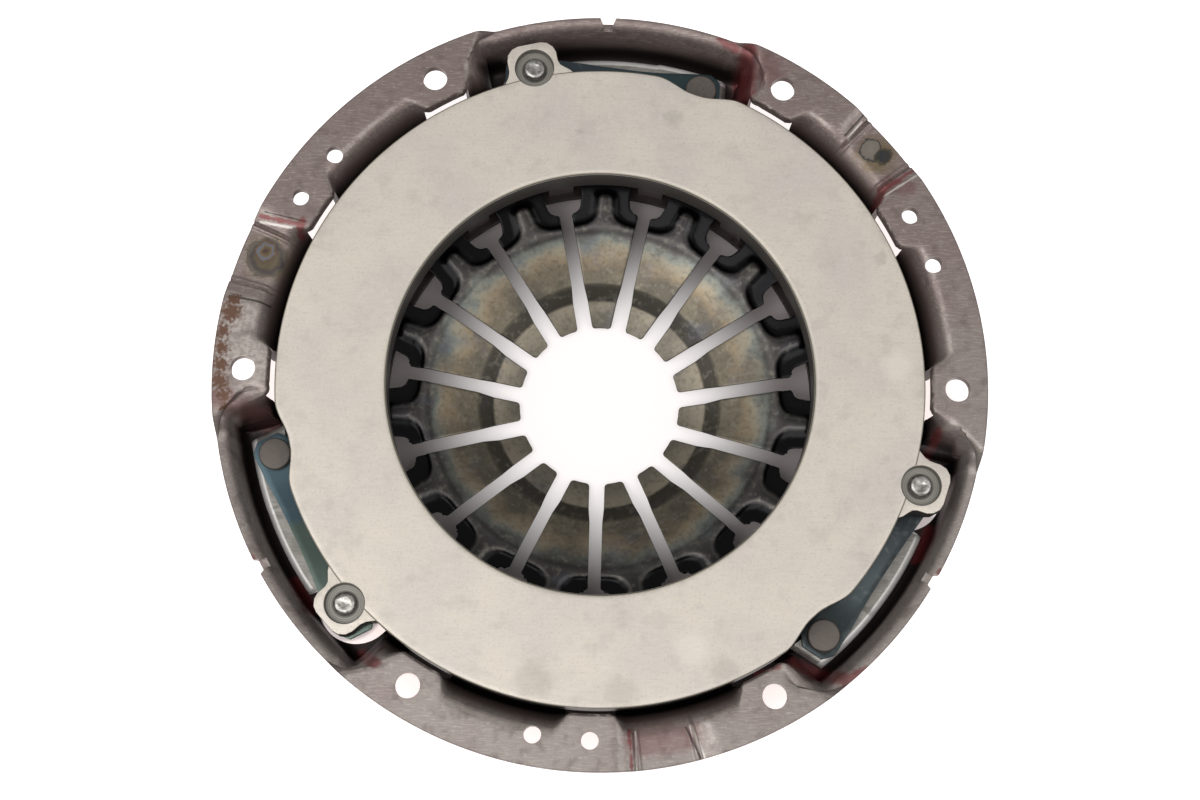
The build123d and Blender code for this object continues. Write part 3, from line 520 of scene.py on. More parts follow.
bm = bmesh.new()
near_edge = [0.0, 0.06, 0.2, 0.45, 0.8, 1.2, 1.7, 2.3]
from_edge = near_edge + [3.5 + i for i in range(12)]
from_tail = near_edge + [3.5 + i for i in range(20)] + [23.7 + 0.13 * i for i in range(9)]
from_tail += [26 + 1.5 * i for i in range(20)] + [PLATFORM_TAIL - PLATFORM_HEAD - d for d in near_edge[::-1]]
bmesh.ops.create_grid(bm, x_segments=len(from_tail) + 1, y_segments=len(from_edge), size=1.0)
for v in bm.verts:
    i = round((v.co.x + 1) / 2 * (len(from_tail) + 1)) - 1
    j = round((v.co.y + 1) / 2 * len(from_edge)) - 1
    tail_gap = from_tail[min(max(i, 0), len(from_tail) - 1)]
    edge_gap = from_edge[max(j, 0)]
    x = PLATFORM_TAIL - tail_gap
    reach = PLATFORM_R - (SEAT_INNER_R if x > PLATFORM_STEP_AT else PLATFORM_INNER_R)
    if edge_gap > PLATFORM_ROLL:
        edge_gap = PLATFORM_ROLL + (edge_gap - PLATFORM_ROLL) * (reach - PLATFORM_ROLL) \
            / (from_edge[-1] - PLATFORM_ROLL)
    radius = PLATFORM_R - edge_gap
    height = PLATFORM_Z - PLATFORM_STEP * smooth((PLATFORM_STEP_AT + 0.5 - x) / 1.0)
    for gap in (edge_gap, tail_gap, x - PLATFORM_HEAD):
        height -= rolled_off(gap, PLATFORM_ROLL)
    if i < 0 or j < 0 or i == len(from_tail) or j == len(from_edge) - 1:
        height = PLATFORM_FOOT_Z
    v.co = (x, sqrt(radius ** 2 - x ** 2), max(height, PLATFORM_FOOT_Z))
bmesh.ops.remove_doubles(bm, verts=bm.verts, dist=0.0001)
bmesh.ops.holes_fill(bm, edges=[e for e in bm.edges if e.is_boundary], sides=0)
bmesh.ops.recalc_face_normals(bm, faces=bm.faces)
spread(bm, [STRAP_ANGLE - 90 + third for third in THIRDS])
platforms = finish_piece("strap_platforms", bm, 50)
seat_steel, tree, shader, mm = new_finish("drawn_seat_steel", 0.4, 0.4)
height = node(tree, "SeparateXYZ", "Z", Vector=mm)
# painted highlight: near white along the outer roll and the top of the seat's sides
roll_highlight = fade(tree, polar_radius(tree, mm), PLATFORM_R - 2.6, PLATFORM_R - 1.9)
seat = over(tree, (0.24, 0.225, 0.20), fade(tree, mottle(tree, mm, 5, 4), 0.35, 0.7), (0.36, 0.34, 0.31))
for turn in (75, -35):
    scored = fade(tree, mottle(tree, mm, 0.8, 2, turn, 9), 0.52, 0.7, 0.0, 0.4)
    seat = over(tree, seat, scored, (0.13, 0.12, 0.12))
roll_highlight = maths(tree, "MAXIMUM", roll_highlight, fade(tree, height, PLATFORM_Z - 1.25, PLATFORM_Z - 1.5))
seat = over(tree, seat, maths(tree, "MULTIPLY", roll_highlight, 0.9), (0.85, 0.83, 0.80))
# painted shade: near black lower down the seat's sides
seat = over(tree, seat, fade(tree, height, PLATFORM_Z - 3.0, PLATFORM_Z - 4.6), (0.012, 0.010, 0.010))
tree.links.new(seat, shader["Base Color"])
grain(tree, shader, mottle(tree, mm, 1.2, 3, 75, 5), 0.3)
platforms.data.materials.append(seat_steel)
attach(platforms, "cover")


# ---- tabs on the crown -------------------------------------------------------------
# Fifteen tongues of the cover's own sheet, bent up through the keyholes of the
# spring and curled outwards over the front pivot ring, which they clamp.
PIVOT_R = 84.0
WIRE_R = 1.9
FRONT_RING_Z = -28.73
REAR_RING_Z = -35.30
FINGER_COUNT = 15
SLOT_ANGLE = 6.0
PITCH = 360.0 / FINGER_COUNT
TAB_T, TAB_HALF, TAB_GAP = 2.6, 4.6, 0.2
TAB_FOOT_Z, TAB_CURL = -39.0, 125.0
bm = bmesh.new()
tab_r = PIVOT_R - WIRE_R - TAB_GAP
foot = bm.faces.new([bm.verts.new((x, y, TAB_FOOT_Z)) for x, y in (
    (tab_r, -TAB_HALF), (tab_r - TAB_T, -TAB_HALF), (tab_r - TAB_T, TAB_HALF), (tab_r, TAB_HALF))])
leg = bmesh.ops.extrude_face_region(bm, geom=[foot], use_keep_orig=True)["geom"]
bmesh.ops.translate(bm, verts=only(bmesh.types.BMVert, leg), vec=(0, 0, FRONT_RING_Z - TAB_FOOT_Z))
bmesh.ops.spin(bm, geom=only(bmesh.types.BMFace, leg), cent=(PIVOT_R, 0, FRONT_RING_Z), axis=(0, 1, 0),
               dvec=(0, 0, 0), angle=radians(TAB_CURL), steps=10)
bmesh.ops.remove_doubles(bm, verts=bm.verts, dist=0.001)
bmesh.ops.recalc_face_normals(bm, faces=bm.faces)
spread(bm, [SLOT_ANGLE + PITCH * i for i in range(FINGER_COUNT)])
tabs = finish_piece("crown_tabs", bm)
# painted light: the tabs and the pivot wires get a raised mauve-grey, so in the dim crown they read like the
# shaded table behind
steel_toned_as_table_shade, tree, shader, mm = new_finish("steel_toned_as_table_shade", 0.7, 0.35)
table_shade_tone = over(tree, (0.12, 0.095, 0.095), mottle(tree, mm, 4), (0.17, 0.14, 0.14))
tree.links.new(table_shade_tone, shader["Base Color"])
tabs.data.materials.append(steel_toned_as_table_shade)
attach(tabs, "cover")


# ---- pressure plate --------------------------------------------------------------
# A heavy cast-iron ring, turned and ground on its friction face, with three lugs
# for the straps, a scallop beside each strap rivet and a fulcrum ridge behind.
FACE_Z = -2.8
PLATE_R = 114.2
BORE_R = 75.2
SCALLOP_DEPTH, SCALLOP_HALF, SCALLOP_FLAT = 3.5, 8.1, 0.7
COVER_RIVET_ANGLE = 73.3
plate_section = [(BORE_R, -16.0), (BORE_R, -3.5), (BORE_R + 0.15, -3.1), (BORE_R + 0.6, FACE_Z),
                 (BORE_R + 2, FACE_Z), (PLATE_R - 2, FACE_Z), (PLATE_R - 0.6, FACE_Z),
                 (PLATE_R - 0.12, -3.0), (PLATE_R, -3.5), (PLATE_R, -17.3), (PLATE_R - 0.6, -17.8),
                 (105.7, -17.8), (103.7, -26.2), (101.3, -26.6), (99.3, -17.8), (93.8, -17.8),
                 (92.0, -16.0)]


def scallop(angle):
    """How deep the plate's edge is cut at an angle, in mm."""
    away = abs((angle - COVER_RIVET_ANGLE + 60) % 120 - 60)
    return SCALLOP_DEPTH * (1 - smooth((away - SCALLOP_FLAT) / (SCALLOP_HALF - SCALLOP_FLAT)))


bm = bmesh.new()
path = path_edges(bm, plate_section)
path.append(bm.edges.new((path[0], path[len(plate_section) - 1])))
bmesh.ops.spin(bm, geom=path, cent=(0, 0, 0), axis=(0, 0, 1), dvec=(0, 0, 0), angle=2 * pi,
               steps=480, use_merge=True)
for v in bm.verts:
    radius = hypot(v.co.x, v.co.y)
    if radius > 110:
        angle = degrees(atan2(v.co.y, v.co.x))
        v.co.xy *= (radius - scallop(angle)) / radius
bmesh.ops.recalc_face_normals(bm, faces=bm.faces)
plate = finish_piece("friction_ring", bm, 50)

# room for the straps in the ring's rear, a step higher up to where they meet the lug
LUG_TOP_Z, LUG_FOOT_Z = -3.4, -13.0
ROOM_WIDE, ROOM_DEEP, ROOM_OUT = 29.2, 18.0, 6.7
for first, last, top in ((-38.3, 42.0, LUG_FOOT_Z + 0.02), (-38.3, 22.5, LUG_FOOT_Z + 1.0)):
    bm = bmesh.new()
    for third in THIRDS:
        place = (Matrix.Rotation(radians(STRAP_ANGLE + third - 90), 4, "Z")
                 @ Matrix.Translation((-(first + last) / 2, STRAP_MID_R + ROOM_OUT, top - ROOM_DEEP / 2)))
        bmesh.ops.create_cube(bm, size=1.0, matrix=place @ Matrix.Diagonal(
            (last - first, ROOM_WIDE, ROOM_DEEP, 1.0)))
    combine(plate, finish_piece("strap_room_cutter", bm), "DIFFERENCE")
STRAP_RIVET_R = 117.7
LUG_OUTLINE = ((107.0, -14.5), (112.8, -13.8), (114.6, -12.6), (116.0, -10.9), (117.2, -9.5),
               (118.8, -8.9), (122.4, -8.9), (124.5, -8.1), (126.3, -6.3), (127.0, -4.0),
               (127.0, 4.3), (126.3, 6.6), (124.4, 8.5), (122.0, 9.2), (118.2, 9.3), (116.3, 9.9),
               (114.6, 11.0), (112.8, 12.4), (107.0, 13.0))
bm = bmesh.new()
raise_outline(bm, LUG_OUTLINE, LUG_FOOT_Z, LUG_TOP_Z)
rim = [e for e in bm.edges if min(v.co.z for v in e.verts) > LUG_TOP_Z - 0.01
       or max(v.co.z for v in e.verts) < LUG_FOOT_Z + 0.01]
bmesh.ops.bevel(bm, geom=rim, offset=0.35, offset_type="OFFSET", segments=2, profile=0.5,
                affect="EDGES", material=-1, clamp_overlap=True)
spread(bm, [LUG_ANGLE + third for third in THIRDS])
combine(plate, finish_piece("lug_blanks", bm), "UNION")


def turned_at_rivets(section, steps, angle):
    """A section turned on its own axis, one at each third of the strap rivets' circle."""
    bm = bmesh.new()
    path = path_edges(bm, section)
    bmesh.ops.spin(bm, geom=path, cent=(0, 0, 0), axis=(0, 0, 1), dvec=(0, 0, 0), angle=2 * pi,
                   steps=steps, use_merge=True)
    bmesh.ops.remove_doubles(bm, verts=bm.verts, dist=0.001)
    bmesh.ops.recalc_face_normals(bm, faces=bm.faces)
    bmesh.ops.translate(bm, verts=bm.verts, vec=(STRAP_RIVET_R, 0, 0))
    spread(bm, [angle + third for third in THIRDS])
    return bm


COUNTERBORE = ((0, 2), (7.25, 2), (7.25, -3.35), (6.9, -3.7), (6.9, -6.3), (6.7, -6.5), (0, -6.5))
bm = turned_at_rivets(COUNTERBORE, 96, LUG_ANGLE)
combine(plate, finish_piece("counterbore_cutter", bm), "DIFFERENCE")

# ground grey iron: warm and pale on the faces, darker in the counterbores and as cast
PALE_IRON, WARM_IRON, CAST_SKIN = (0.53, 0.482, 0.435), (0.58, 0.525, 0.452), (0.04, 0.035, 0.031)
ground_iron, tree, shader, mm = new_finish("ground_iron", 0.3, 0.45)
radius = polar_radius(tree, mm)
height = node(tree, "SeparateXYZ", "Z", Vector=mm)
iron = over(tree, PALE_IRON, fade(tree, mottle(tree, mm, 30), 0.35, 0.65), WARM_IRON)
iron = over(tree, iron, fade(tree, mottle(tree, mm, 7, 6), 0.5, 0.75, 0.0, 0.45), (0.41, 0.375, 0.335))
iron = over(tree, iron, fade(tree, mottle(tree, mm, 2.4, 6), 0.5, 0.75, 0.0, 0.4), (0.60, 0.555, 0.495))
iron = over(tree, iron, fade(tree, mottle(tree, mm, 0.9, 6), 0.52, 0.7, 0.0, 0.35), (0.36, 0.33, 0.295))
for turn, share in ((0, 0.07), (80, 0.07), (-30, 0.06)):
    brushed = fade(tree, mottle(tree, mm, 0.6, 3, turn, 9), 0.5, 0.7, 0.0, share)
    iron = over(tree, iron, brushed, (0.28, 0.25, 0.22))
stains = patches(tree, mm, ((23.5, 97, FACE_Z, 4.5), (98, 47, FACE_Z, 3.5), (-10, 91, FACE_Z, 1.4),
                            (45, -100, FACE_Z, 7), (-20, -105, FACE_Z, 9), (10, -109, FACE_Z, 8)), 7, 3)
iron = over(tree, iron, maths(tree, "MULTIPLY", stains, 0.3), (0.26, 0.24, 0.21))
light = patches(tree, mm, ((34, -93, FACE_Z, 8), (104, 8, FACE_Z, 7)), 3, 4)
iron = over(tree, iron, maths(tree, "MULTIPLY", light, 0.35), (0.70, 0.65, 0.57))
edge_line = maths(tree, "ADD", fade(tree, radius, PLATE_R - 0.8, PLATE_R - 0.2),
                  fade(tree, radius, BORE_R + 1.1, BORE_R + 0.3))
iron = over(tree, iron, maths(tree, "MULTIPLY", edge_line, fade(tree, height, -3.3, -3.1, 0.0, 0.75)),
            (0.17, 0.15, 0.09))
iron = over(tree, iron, maths(tree, "MULTIPLY", fade(tree, height, -2.85, -2.95),
                              fade(tree, height, -3.36, -3.3)), (0.10, 0.09, 0.07))
lug_gap = None
for third in THIRDS:
    seat_place = Matrix.Rotation(radians(LUG_ANGLE + third), 2) @ Vector((STRAP_RIVET_R, 0))
    gap = distance_to(tree, mm, (*seat_place, LUG_TOP_Z - 3.1))
    lug_gap = gap if lug_gap is None else maths(tree, "MINIMUM", lug_gap, gap)
turned = maths(tree, "SINE", maths(tree, "MULTIPLY", lug_gap, 9.0))
bored_and_shaded = over(tree, (0.20, 0.19, 0.165), fade(tree, turned, -1, 1), (0.30, 0.285, 0.25))
# painted shade: darker at each counterbore's wall, near black in a ring round the rivet head
bored_and_shaded = over(tree, bored_and_shaded, fade(tree, lug_gap, 6.3, 7.2, 0.0, 0.8), (0.09, 0.08, 0.07))
bored_and_shaded = over(tree, bored_and_shaded, fade(tree, lug_gap, 4.9, 4.1, 0.0, 0.9), (0.03, 0.028, 0.026))
skin = over(tree, CAST_SKIN, fade(tree, lug_gap, 7.8, 7.4), bored_and_shaded)
iron = over(tree, iron, fade(tree, height, -3.44, -3.56), skin)
tree.links.new(iron, shader["Base Color"])
ground_marks = maths(tree, "ADD", mottle(tree, mm, 0.6, 4), mottle(tree, mm, 0.5, 2, 0, 20))
grain(tree, shader, ground_marks, 0.14, 0.06)
plate.data.materials.append(ground_iron)
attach(plate, "pressure_plate")
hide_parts("pressure_plate")


# ---- diaphragm spring ---------------------------------------------------------------
# A slotted cone of hardened spring steel. The fingers are pressed proud of the
# disc, a flat band stays round each keyhole, and the tips are bent to a flat land
# where the release bearing pushes. The scale colours are tempering tints, with
# painted shade on the bend before the tips and in the bands round the keyholes.
SPRING_T = 2.6
TIP_R = 29.5
SHOULDER_R, SHOULDER_Z = 70.5, -33.8
KEYHOLE_END_R = 82.4
FINGER_PROFILE = ((TIP_R, -49.4), (38.9, -45.6), (39.8, -45.0), (44.1, -42.3), (44.9, -41.8),
                  (64.0, -34.4), (68.0, -33.1))
FINGER_RISE = 1.3
CONE = tan(radians(13.0))


def disc_z(radius):
    """Upper face of the plain cone."""
    return SHOULDER_Z + (radius - SHOULDER_R) * CONE


def along(table, x):
    """Straight-line reading of a short table."""
    for (x0, y0), (x1, y1) in zip(table, table[1:]):
        if x <= x1:
            return y0 + (y1 - y0) * (x - x0) / (x1 - x0)
    return table[-1][1]


def keyhole_side(radius):
    """Half width of a keyhole at a radius, with sharp corners."""
    return 5.2 + 1.9 * min(max((radius - SHOULDER_R) / 6.0, 0.0), 1.0)


def keyhole_half(radius):
    """Half width of a keyhole at a radius, its corners rounded."""
    half = keyhole_side(radius)
    for near in (radius - SHOULDER_R, KEYHOLE_END_R - radius):
        if near < 2.4:
            half -= 2.4 - sqrt(max(2.4 ** 2 - (2.4 - near) ** 2, 0.0))
    return half


def slot_half(radius):
    """Half width of the gap between two fingers at a radius."""
    if radius > KEYHOLE_END_R:
        return 0.0
    if radius > SHOULDER_R:
        return keyhole_half(radius)
    half = along(((TIP_R, 2.78), (39.4, 2.78), (45.0, 2.3), (SHOULDER_R, 2.3)), radius)
    if radius < 30.7:
        half += 1.2 - sqrt(max(1.2 ** 2 - (30.7 - radius) ** 2, 0.0))
    if radius > SHOULDER_R - 1.0:
        half += 1.0 - sqrt(max(1.0 - (radius - SHOULDER_R + 1.0) ** 2, 0.0))
    return half


def spring_z(radius, turn):
    """Upper face of the spring at a radius and at an angle from the finger's middle."""
    base = disc_z(radius)
    proud = 1.0
    for side in (-1, 1):
        away = radians(PITCH / 2) - side * turn
        x, y = radius * cos(away), abs(radius * sin(away))
        gap = hypot(max(SHOULDER_R - x, 0.0), 0.74 * max(y - keyhole_side(x), 0.0))
        proud *= smooth((gap - 3.2) / 3.4)
    proud *= 1 - smooth((radius - 75.4) / 2.6)
    finger = along(FINGER_PROFILE, radius) if radius < 66 else base + FINGER_RISE
    blend = smooth((radius - 62.0) / 4.0)
    finger = finger * (1 - blend) + (base + FINGER_RISE) * blend
    low = base if radius > 64 else finger - FINGER_RISE
    return low + (finger - low) * proud


# rows and columns of one finger's grid, close together at its bends and cut edges
ROWS = [TIP_R, 29.7, 30.1, 30.7] + [32 + i * 1.35 for i in range(6)]
ROWS += [39.0, 39.3, 39.7, 40.2, 41.5, 43, 44, 44.4, 44.9, 45.4] + [47 + 1.5 * i for i in range(10)]
ROWS += [61.5 + 0.8 * i for i in range(10)] + [69.5, 69.8, 70.1, 70.3, 70.42, 70.49, 70.51, 70.58, 70.7]
ROWS += [70.95, 71.3, 71.8, 72.4, 72.9, 73.6, 74.4, 75.2, 76, 76.8, 77.6, 78.6, 80, 81, 81.8, 82.2]
ROWS += [82.36, 82.399, 82.41, 83.5, 85, 90, 95, 100, 105.4, 106.0]
EDGE_ROUND = 0.45
ACROSS = [-1, -0.985, -0.955, -0.9, -0.83, -0.74, -0.64, -0.53, -0.42, -0.31, -0.2, -0.1]
ACROSS = ACROSS + [0.0] + [-t for t in reversed(ACROSS)]
bm = bmesh.new()
bmesh.ops.create_grid(bm, x_segments=len(ROWS) - 1, y_segments=len(ACROSS) - 1, size=1.0)
for v in bm.verts:
    radius = ROWS[round((v.co.x + 1) / 2 * (len(ROWS) - 1))]
    share = ACROSS[round((v.co.y + 1) / 2 * (len(ACROSS) - 1))]
    turn = share * (radians(PITCH / 2) - asin(slot_half(radius) / radius))
    height = spring_z(radius, turn)
    edge_gap = (1 - abs(share)) * radius * radians(PITCH / 2)
    if radius < KEYHOLE_END_R:
        height -= rolled_off(edge_gap, EDGE_ROUND)
    v.co = (radius * cos(turn), radius * sin(turn), height)
spread(bm, [SLOT_ANGLE + PITCH * (i + 0.5) for i in range(FINGER_COUNT)])
bmesh.ops.remove_doubles(bm, verts=bm.verts, dist=0.01)
bmesh.ops.recalc_face_normals(bm, faces=bm.faces)
if sum(f.normal.z for f in bm.faces) < 0:
    bmesh.ops.reverse_faces(bm, faces=bm.faces)
spring = finish_piece("diaphragm_spring_detail", bm, 40)
skin = spring.modifiers.new("thickness", "SOLIDIFY")
skin.thickness = SPRING_T * MM
skin.offset = -1
skin.use_even_offset = False
settle(spring, 40)

# tempered scale: each tint is a ring, darkening outwards to near black, and the dark ring
# on the bend before the tips is painted shade; the lowered bands are painted near black
# as shade, glossy, with a painted highlight on their crests
SPRING_TINTS_AND_SHADE = ((TIP_R, (0.13, 0.115, 0.09)), (34.0, (0.17, 0.15, 0.115)), (38.6, (0.22, 0.19, 0.145)),
                (39.6, (0.05, 0.045, 0.035)), (43.6, (0.055, 0.048, 0.038)), (45.2, (0.12, 0.105, 0.075)),
                (50.0, (0.12, 0.10, 0.072)), (54.0, (0.19, 0.15, 0.10)), (57.5, (0.205, 0.18, 0.135)),
                (60.0, (0.135, 0.145, 0.13)), (63.0, (0.07, 0.066, 0.062)), (67.0, (0.045, 0.04, 0.041)),
                (72.0, (0.028, 0.026, 0.028)), (79.0, (0.014, 0.013, 0.013)))
TINTED_WIDTH = SPRING_TINTS_AND_SHADE[-1][0] - TIP_R
blued_spring, tree, shader, mm = new_finish("blued_spring_steel", 0.8, 0.33)
radius = polar_radius(tree, mm)
height = node(tree, "SeparateXYZ", "Z", Vector=mm)
waver = maths(tree, "MULTIPLY", maths(tree, "SUBTRACT", mottle(tree, mm, 11, 5), 0.5), 16.0)
waver = maths(tree, "MULTIPLY", waver, fade(tree, radius, 44.5, 47.5))
outward = maths(tree, "SUBTRACT", maths(tree, "ADD", radius, waver), TIP_R)
tint = colour_ramp(tree, maths(tree, "DIVIDE", outward, TINTED_WIDTH),
                   [((at - TIP_R) / TINTED_WIDTH, shade) for at, shade in SPRING_TINTS_AND_SHADE])
scale = over(tree, tint, fade(tree, mottle(tree, mm, 19, 4), 0.42, 0.66, 0.0, 0.65), (0.05, 0.046, 0.04))
scale = over(tree, scale, fade(tree, mottle(tree, mm, 12, 5), 0.56, 0.72, 0.0, 0.4), (0.07, 0.075, 0.10))
scale = over(tree, scale, fade(tree, mottle(tree, mm, 2.4, 6), 0.5, 0.72, 0.0, 0.4), (0.20, 0.185, 0.15))
scale = over(tree, scale, fade(tree, mottle(tree, mm, 1.6, 6), 0.45, 0.75, 0.0, 0.4), (0.04, 0.036, 0.03))
cone_height = maths(tree, "MULTIPLY", maths(tree, "SUBTRACT", radius, SHOULDER_R - SHOULDER_Z / CONE), CONE)
lift = maths(tree, "SUBTRACT", height, cone_height)
# painted shade: the lowered bands round the keyholes are painted near black
band_shade = maths(tree, "MULTIPLY", fade(tree, lift, 1.05, 0.5), fade(tree, radius, 61, 64))
scale = over(tree, scale, band_shade, (0.005, 0.005, 0.0055))
shader["Specular IOR Level"].default_value = 0.3
# painted highlight: a paler line along the crest of each band's slope
crest_highlight = maths(tree, "MULTIPLY", fade(tree, lift, 0.85, 1.12), fade(tree, lift, 1.29, 1.2))
crest_highlight = maths(tree, "MULTIPLY", crest_highlight, fade(tree, radius, 63, 66, 0.0, 0.25))
scale = over(tree, scale, crest_highlight, (0.13, 0.125, 0.12))
tree.links.new(scale, shader["Base Color"])
tree.links.new(fade(tree, band_shade, 0.0, 1.0, 0.36, 0.2), shader["Roughness"])
grain(tree, shader, mottle(tree, mm, 1.0, 5), 0.2)
spring.data.materials.append(blued_spring)
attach(spring, "cover")
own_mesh(spring)
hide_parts("diaphragm_spring")


# ---- pivot rings ---------------------------------------------------------------------
# Two rings of round drawn wire that the spring rocks between. The rear one lies on
# the crown, and the tabs hold the front one down on the spring.
for name, solid, height in (("rear_pivot_wire", "pivot_ring_rear", REAR_RING_Z),
                           ("front_pivot_wire", "pivot_ring_front", FRONT_RING_Z)):
    bm = bmesh.new()
    loop = bmesh.ops.create_circle(bm, segments=16, radius=WIRE_R * 0.99,
                                   matrix=Matrix.Translation((PIVOT_R, 0, height))
                                   @ Matrix.Rotation(pi / 2, 4, "X"))["verts"]
    bmesh.ops.spin(bm, geom=loop + list(bm.edges), cent=(0, 0, 0), axis=(0, 0, 1), dvec=(0, 0, 0),
                   angle=2 * pi, steps=180, use_merge=True)
    bmesh.ops.recalc_face_normals(bm, faces=bm.faces)
    wire = finish_piece(name, bm, 60)
    wire.data.materials.append(steel_toned_as_table_shade)
    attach(wire, "cover")
    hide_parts(solid)


# ---- strap packs ----------------------------------------------------------------------
# Flat spring-steel leaves stacked three deep. They carry the drive from the cover to
# the plate, pull the plate back and keep it centred. Tempering leaves them blue-green.
LEAF_T, LEAF_FLAT_FROM = 0.8, 22.5
LEAF_SIDE = ((-37.46, 4.0), (-34.4, 6.9), (-32.0, 7.1), (-22.5, 7.0), (-16.0, 6.6), (-8.0, 6.35), (0.0, 6.3),
             (8.0, 6.35), (16.0, 6.6), (22.5, 7.0), (32.0, 7.1), (38.2, 7.0), (41.26, 4.1))
LEAF_TAIL, LEAF_HEAD = LEAF_SIDE[0][0], LEAF_SIDE[-1][0]
STRAP_TINTS = (((0.033, 0.056, 0.063), (0.038, 0.052, 0.06)), ((0.056, 0.094, 0.112), (0.078, 0.108, 0.092)),
               ((0.024, 0.032, 0.034), (0.014, 0.019, 0.022)))


def leaf_z(x, index):
    """Height of the underside of a leaf along the strap."""
    share = smooth((x + LEAF_FLAT_FROM) / (2 * LEAF_FLAT_FROM))
    low, high = PLATFORM_Z, LUG_FOOT_Z - 3 * LEAF_T
    return low + (high - low) * share + index * LEAF_T


for number, third in enumerate(THIRDS, start=1):
    tempered, tree, shader, mm = new_finish(f"tempered_strap_{number}", 0.65, 0.3)
    place = (Matrix.Rotation(radians(STRAP_ANGLE + third - 90), 4, "Z")
             @ Matrix.Translation((0, STRAP_MID_R, 0)) @ Matrix.Rotation(pi, 4, "Z"))
    tail_tint, head_tint = STRAP_TINTS[number - 1]
    gap = distance_to(tree, mm, place @ Vector((-HALF_SPAN, 0, -20)))
    gap = maths(tree, "ADD", gap, maths(tree, "MULTIPLY", mottle(tree, mm, 8), 6.0))
    tint = over(tree, tail_tint, fade(tree, gap, 27, 31 if number == 2 else 45), head_tint)
    tint = over(tree, tint, fade(tree, mottle(tree, mm, 3, 5), 0.5, 0.75, 0.0, 0.18), (0.16, 0.17, 0.16))
    tree.links.new(tint, shader["Base Color"])
    for index in range(3):
        bm = bmesh.new()
        bmesh.ops.create_grid(bm, x_segments=48, y_segments=6, size=1.0)
        for v in bm.verts:
            x = v.co.x * (LEAF_HEAD - LEAF_TAIL) / 2 + (LEAF_HEAD + LEAF_TAIL) / 2
            half = along(LEAF_SIDE, x)
            v.co = (x, v.co.y * half, leaf_z(x, index) + LEAF_T)
        bmesh.ops.recalc_face_normals(bm, faces=bm.faces)
        if sum(f.normal.z for f in bm.faces) < 0:
            bmesh.ops.reverse_faces(bm, faces=bm.faces)
        made = bmesh.ops.extrude_face_region(bm, geom=list(bm.faces), use_keep_orig=True)["geom"]
        bmesh.ops.translate(bm, verts=only(bmesh.types.BMVert, made), vec=(0, 0, -LEAF_T * 0.97))
        bmesh.ops.recalc_face_normals(bm, faces=bm.faces)
        rim = [e for e in bm.edges if len(e.link_faces) == 2 and e.calc_face_angle(0) > 1.0]
        bmesh.ops.bevel(bm, geom=rim, offset=0.12, offset_type="OFFSET", segments=2, profile=0.5,
                        affect="EDGES", material=-1, clamp_overlap=True)
        bmesh.ops.transform(bm, matrix=place, verts=bm.verts)
        leaf = finish_piece(f"strap_{number}_leaf_{index + 1}_detail", bm, 30)
        leaf.data.materials.append(tempered)
        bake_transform(leaf)
        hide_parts(f"strap_{number}_leaf_{index + 1}")


# ---- rivets ------------------------------------------------------------------------------
# Flat-headed steel rivets hold the straps to the cover, and are pressed matt and
# flat. The lug rivets are bright, with a domed head set in the counterbore.
FLAT_RIVET = ((0.0, -16.62), (5.0, -16.62), (5.45, -16.72), (5.68, -17.1), (5.7, -17.6), (5.7, -19.48),
              (3.2, -19.5), (3.2, -25.9), (4.5, -25.92), (4.5, -27.9), (4.0, -28.3), (0.0, -28.3))
LUG_RIVET = ((0.0, -3.95), (0.9, -3.92), (1.7, -3.72), (2.5, -3.64), (3.2, -3.8), (3.75, -4.3),
             (4.0, -5.0), (4.05, -6.48), (3.0, -6.5), (3.0, -15.4), (5.2, -15.42), (5.2, -17.0),
             (4.4, -17.8), (0.0, -17.8))
matt_rivet, tree, shader, mm = new_finish("matt_rivet_steel", 0.4, 0.55)
dull = over(tree, (0.095, 0.078, 0.068), mottle(tree, mm, 1.5, 5), (0.15, 0.13, 0.115))
tree.links.new(dull, shader["Base Color"])
grain(tree, shader, mottle(tree, mm, 0.5, 4), 0.3)
bright_rivet, tree, shader, mm = new_finish("bright_rivet_steel", 0.9, 0.3)
cloud = fade(tree, mottle(tree, mm, 1.6, 5), 0.35, 0.65)
shine = over(tree, (0.22, 0.21, 0.195), cloud, (0.48, 0.465, 0.435))
tree.links.new(shine, shader["Base Color"])
grain(tree, shader, mottle(tree, mm, 1.3, 4), 0.6, 0.3)
for name, section, solids, body, slot, angle, finish in (
        ("cover_rivet_heads", FLAT_RIVET, "cover_rivets", "cover", "rivet_dark",
         COVER_RIVET_ANGLE, matt_rivet),
        ("lug_rivet_heads", LUG_RIVET, "lug_rivets", "pressure_plate", "rivet_bright",
         LUG_ANGLE, bright_rivet)):
    rivets = finish_piece(name, turned_at_rivets(section, 64, angle), 50)
    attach(rivets, body)
    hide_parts(solids)
    rivets.data.materials.append(finish)


# ---- studio --------------------------------------------------------------------------------
# A white table of paper under the fingertips, three soft lamps overhead and a long
# lens looking down on the part. The table glows to the lens and in shiny steel only;
# the glow is painted light, with a painted shadow under the part.
FLOOR_Z = -0.0519
bm = bmesh.new()
bmesh.ops.create_grid(bm, x_segments=1, y_segments=1, size=3.0)
floor_mesh = bpy.data.meshes.new("floor")
bm.to_mesh(floor_mesh)
bm.free()
floor = bpy.data.objects.new("floor", floor_mesh)
floor.location.z = FLOOR_Z
bpy.context.scene.collection.objects.link(floor)
paper = bpy.data.materials.new("table_paper")
paper.use_nodes = True
tree = paper.node_tree
paper_shader = tree.nodes["Principled BSDF"].inputs
paper_shader["Base Color"].default_value = (0.52, 0.46, 0.455, 1)
paper_shader["Roughness"].default_value = 0.8
mm = node(tree, "Mapping", Vector=node(tree, "TexCoord", "Object"), Scale=(1000, 1000, 1000))
radius = polar_radius(tree, mm)
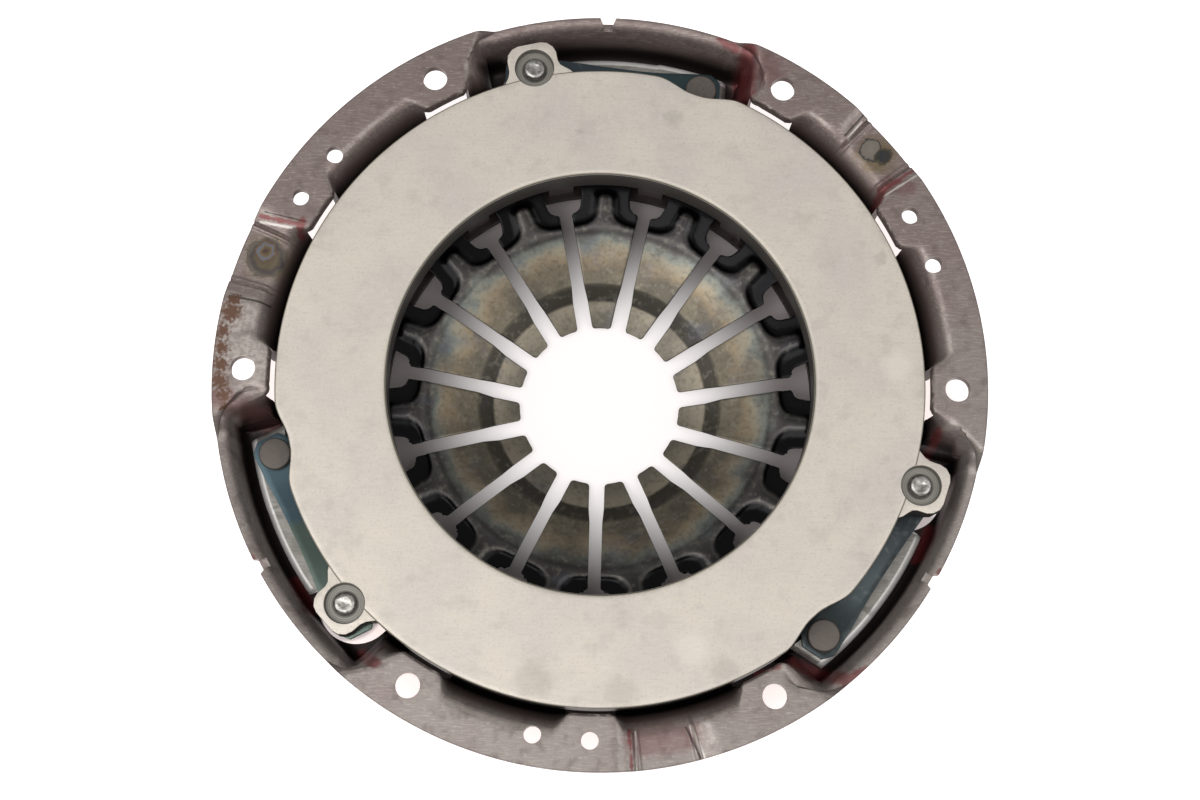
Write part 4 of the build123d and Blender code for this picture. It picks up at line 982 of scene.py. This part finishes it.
# painted light: the glow is pinkish round the part, as a painted reflection of red paint, and white further
# out and in the middle
glow_tint = over(tree, (1.0, 0.86, 0.82), fade(tree, radius, 122, 138), (1.0, 1.0, 1.0))
glow_tint = over(tree, (0.97, 0.97, 0.96), fade(tree, radius, 60, 100), glow_tint)
tree.links.new(glow_tint, paper_shader["Emission Color"])
# painted light and shadow: strong glow beyond the part and in its middle, weak in a ring under it as a
# painted shadow
glow = maths(tree, "MAXIMUM", fade(tree, radius, 106, 114, 0.0, 0.8), fade(tree, radius, 126, 140))
glow = maths(tree, "MAXIMUM", glow, fade(tree, radius, 72, 28, 0.0, 0.56))
# painted shade: the glow is dimmed where the part's own shade falls under its access holes
for third in THIRDS:
    shaded = Matrix.Rotation(radians(LUG_ANGLE + third - 4.0), 2) @ Vector((STRAP_RIVET_R, 0))
    gap = distance_to(tree, mm, (*shaded, 0.0))
    glow = maths(tree, "MULTIPLY", glow, fade(tree, gap, 16.5, 14.5, 1.0, 0.3))
seen = maths(tree, "MAXIMUM", node(tree, "LightPath", "Is Camera Ray"),
             node(tree, "LightPath", "Is Glossy Ray"))
tree.links.new(maths(tree, "MULTIPLY", glow, seen), paper_shader["Emission Strength"])
floor_mesh.materials.append(paper)

for name, place, size, power in (("key_lamp", (-0.3, -0.45, 1.35), 0.9, 8.0),
                                 ("left_lamp", (-1.1, -0.2, 1.1), 1.2, 7.8),
                                 ("right_lamp", (1.0, -0.3, 1.2), 1.2, 7.0)):
    light = bpy.data.lights.new(name, "AREA")
    light.size = size
    light.energy = power
    lamp = bpy.data.objects.new(name, light)
    lamp.location = place
    lamp.rotation_euler = (-Vector(place)).to_track_quat("-Z", "Y").to_euler()
    bpy.context.scene.collection.objects.link(lamp)

world = bpy.data.worlds.new("studio")
world.use_nodes = True
world.node_tree.nodes["Background"].inputs["Color"].default_value = (1, 1, 1, 1)
world.node_tree.nodes["Background"].inputs["Strength"].default_value = 0.5
scene = bpy.context.scene
scene.world = world
scene.view_settings.view_transform = "Standard"

# the lens: where it stands and how it leans, its focal length in pixels of a frame 1200 wide
tilt = (Matrix.Rotation(radians(-11.20), 4, "X") @ Matrix.Rotation(radians(0.49), 4, "Y")
        @ Matrix.Rotation(radians(-1.65), 4, "Z"))
shift = Matrix.Translation((0.15 * MM, 7.46 * MM, -749.2 * MM))
lens = bpy.data.cameras.new("camera")
lens.sensor_width = 36.0
lens.lens = 2145.2 / 1200 * lens.sensor_width
lens.clip_start = 0.05
camera = bpy.data.objects.new("camera", lens)
camera.matrix_world = (shift @ tilt).inverted()
scene.collection.objects.link(camera)
scene.camera = camera
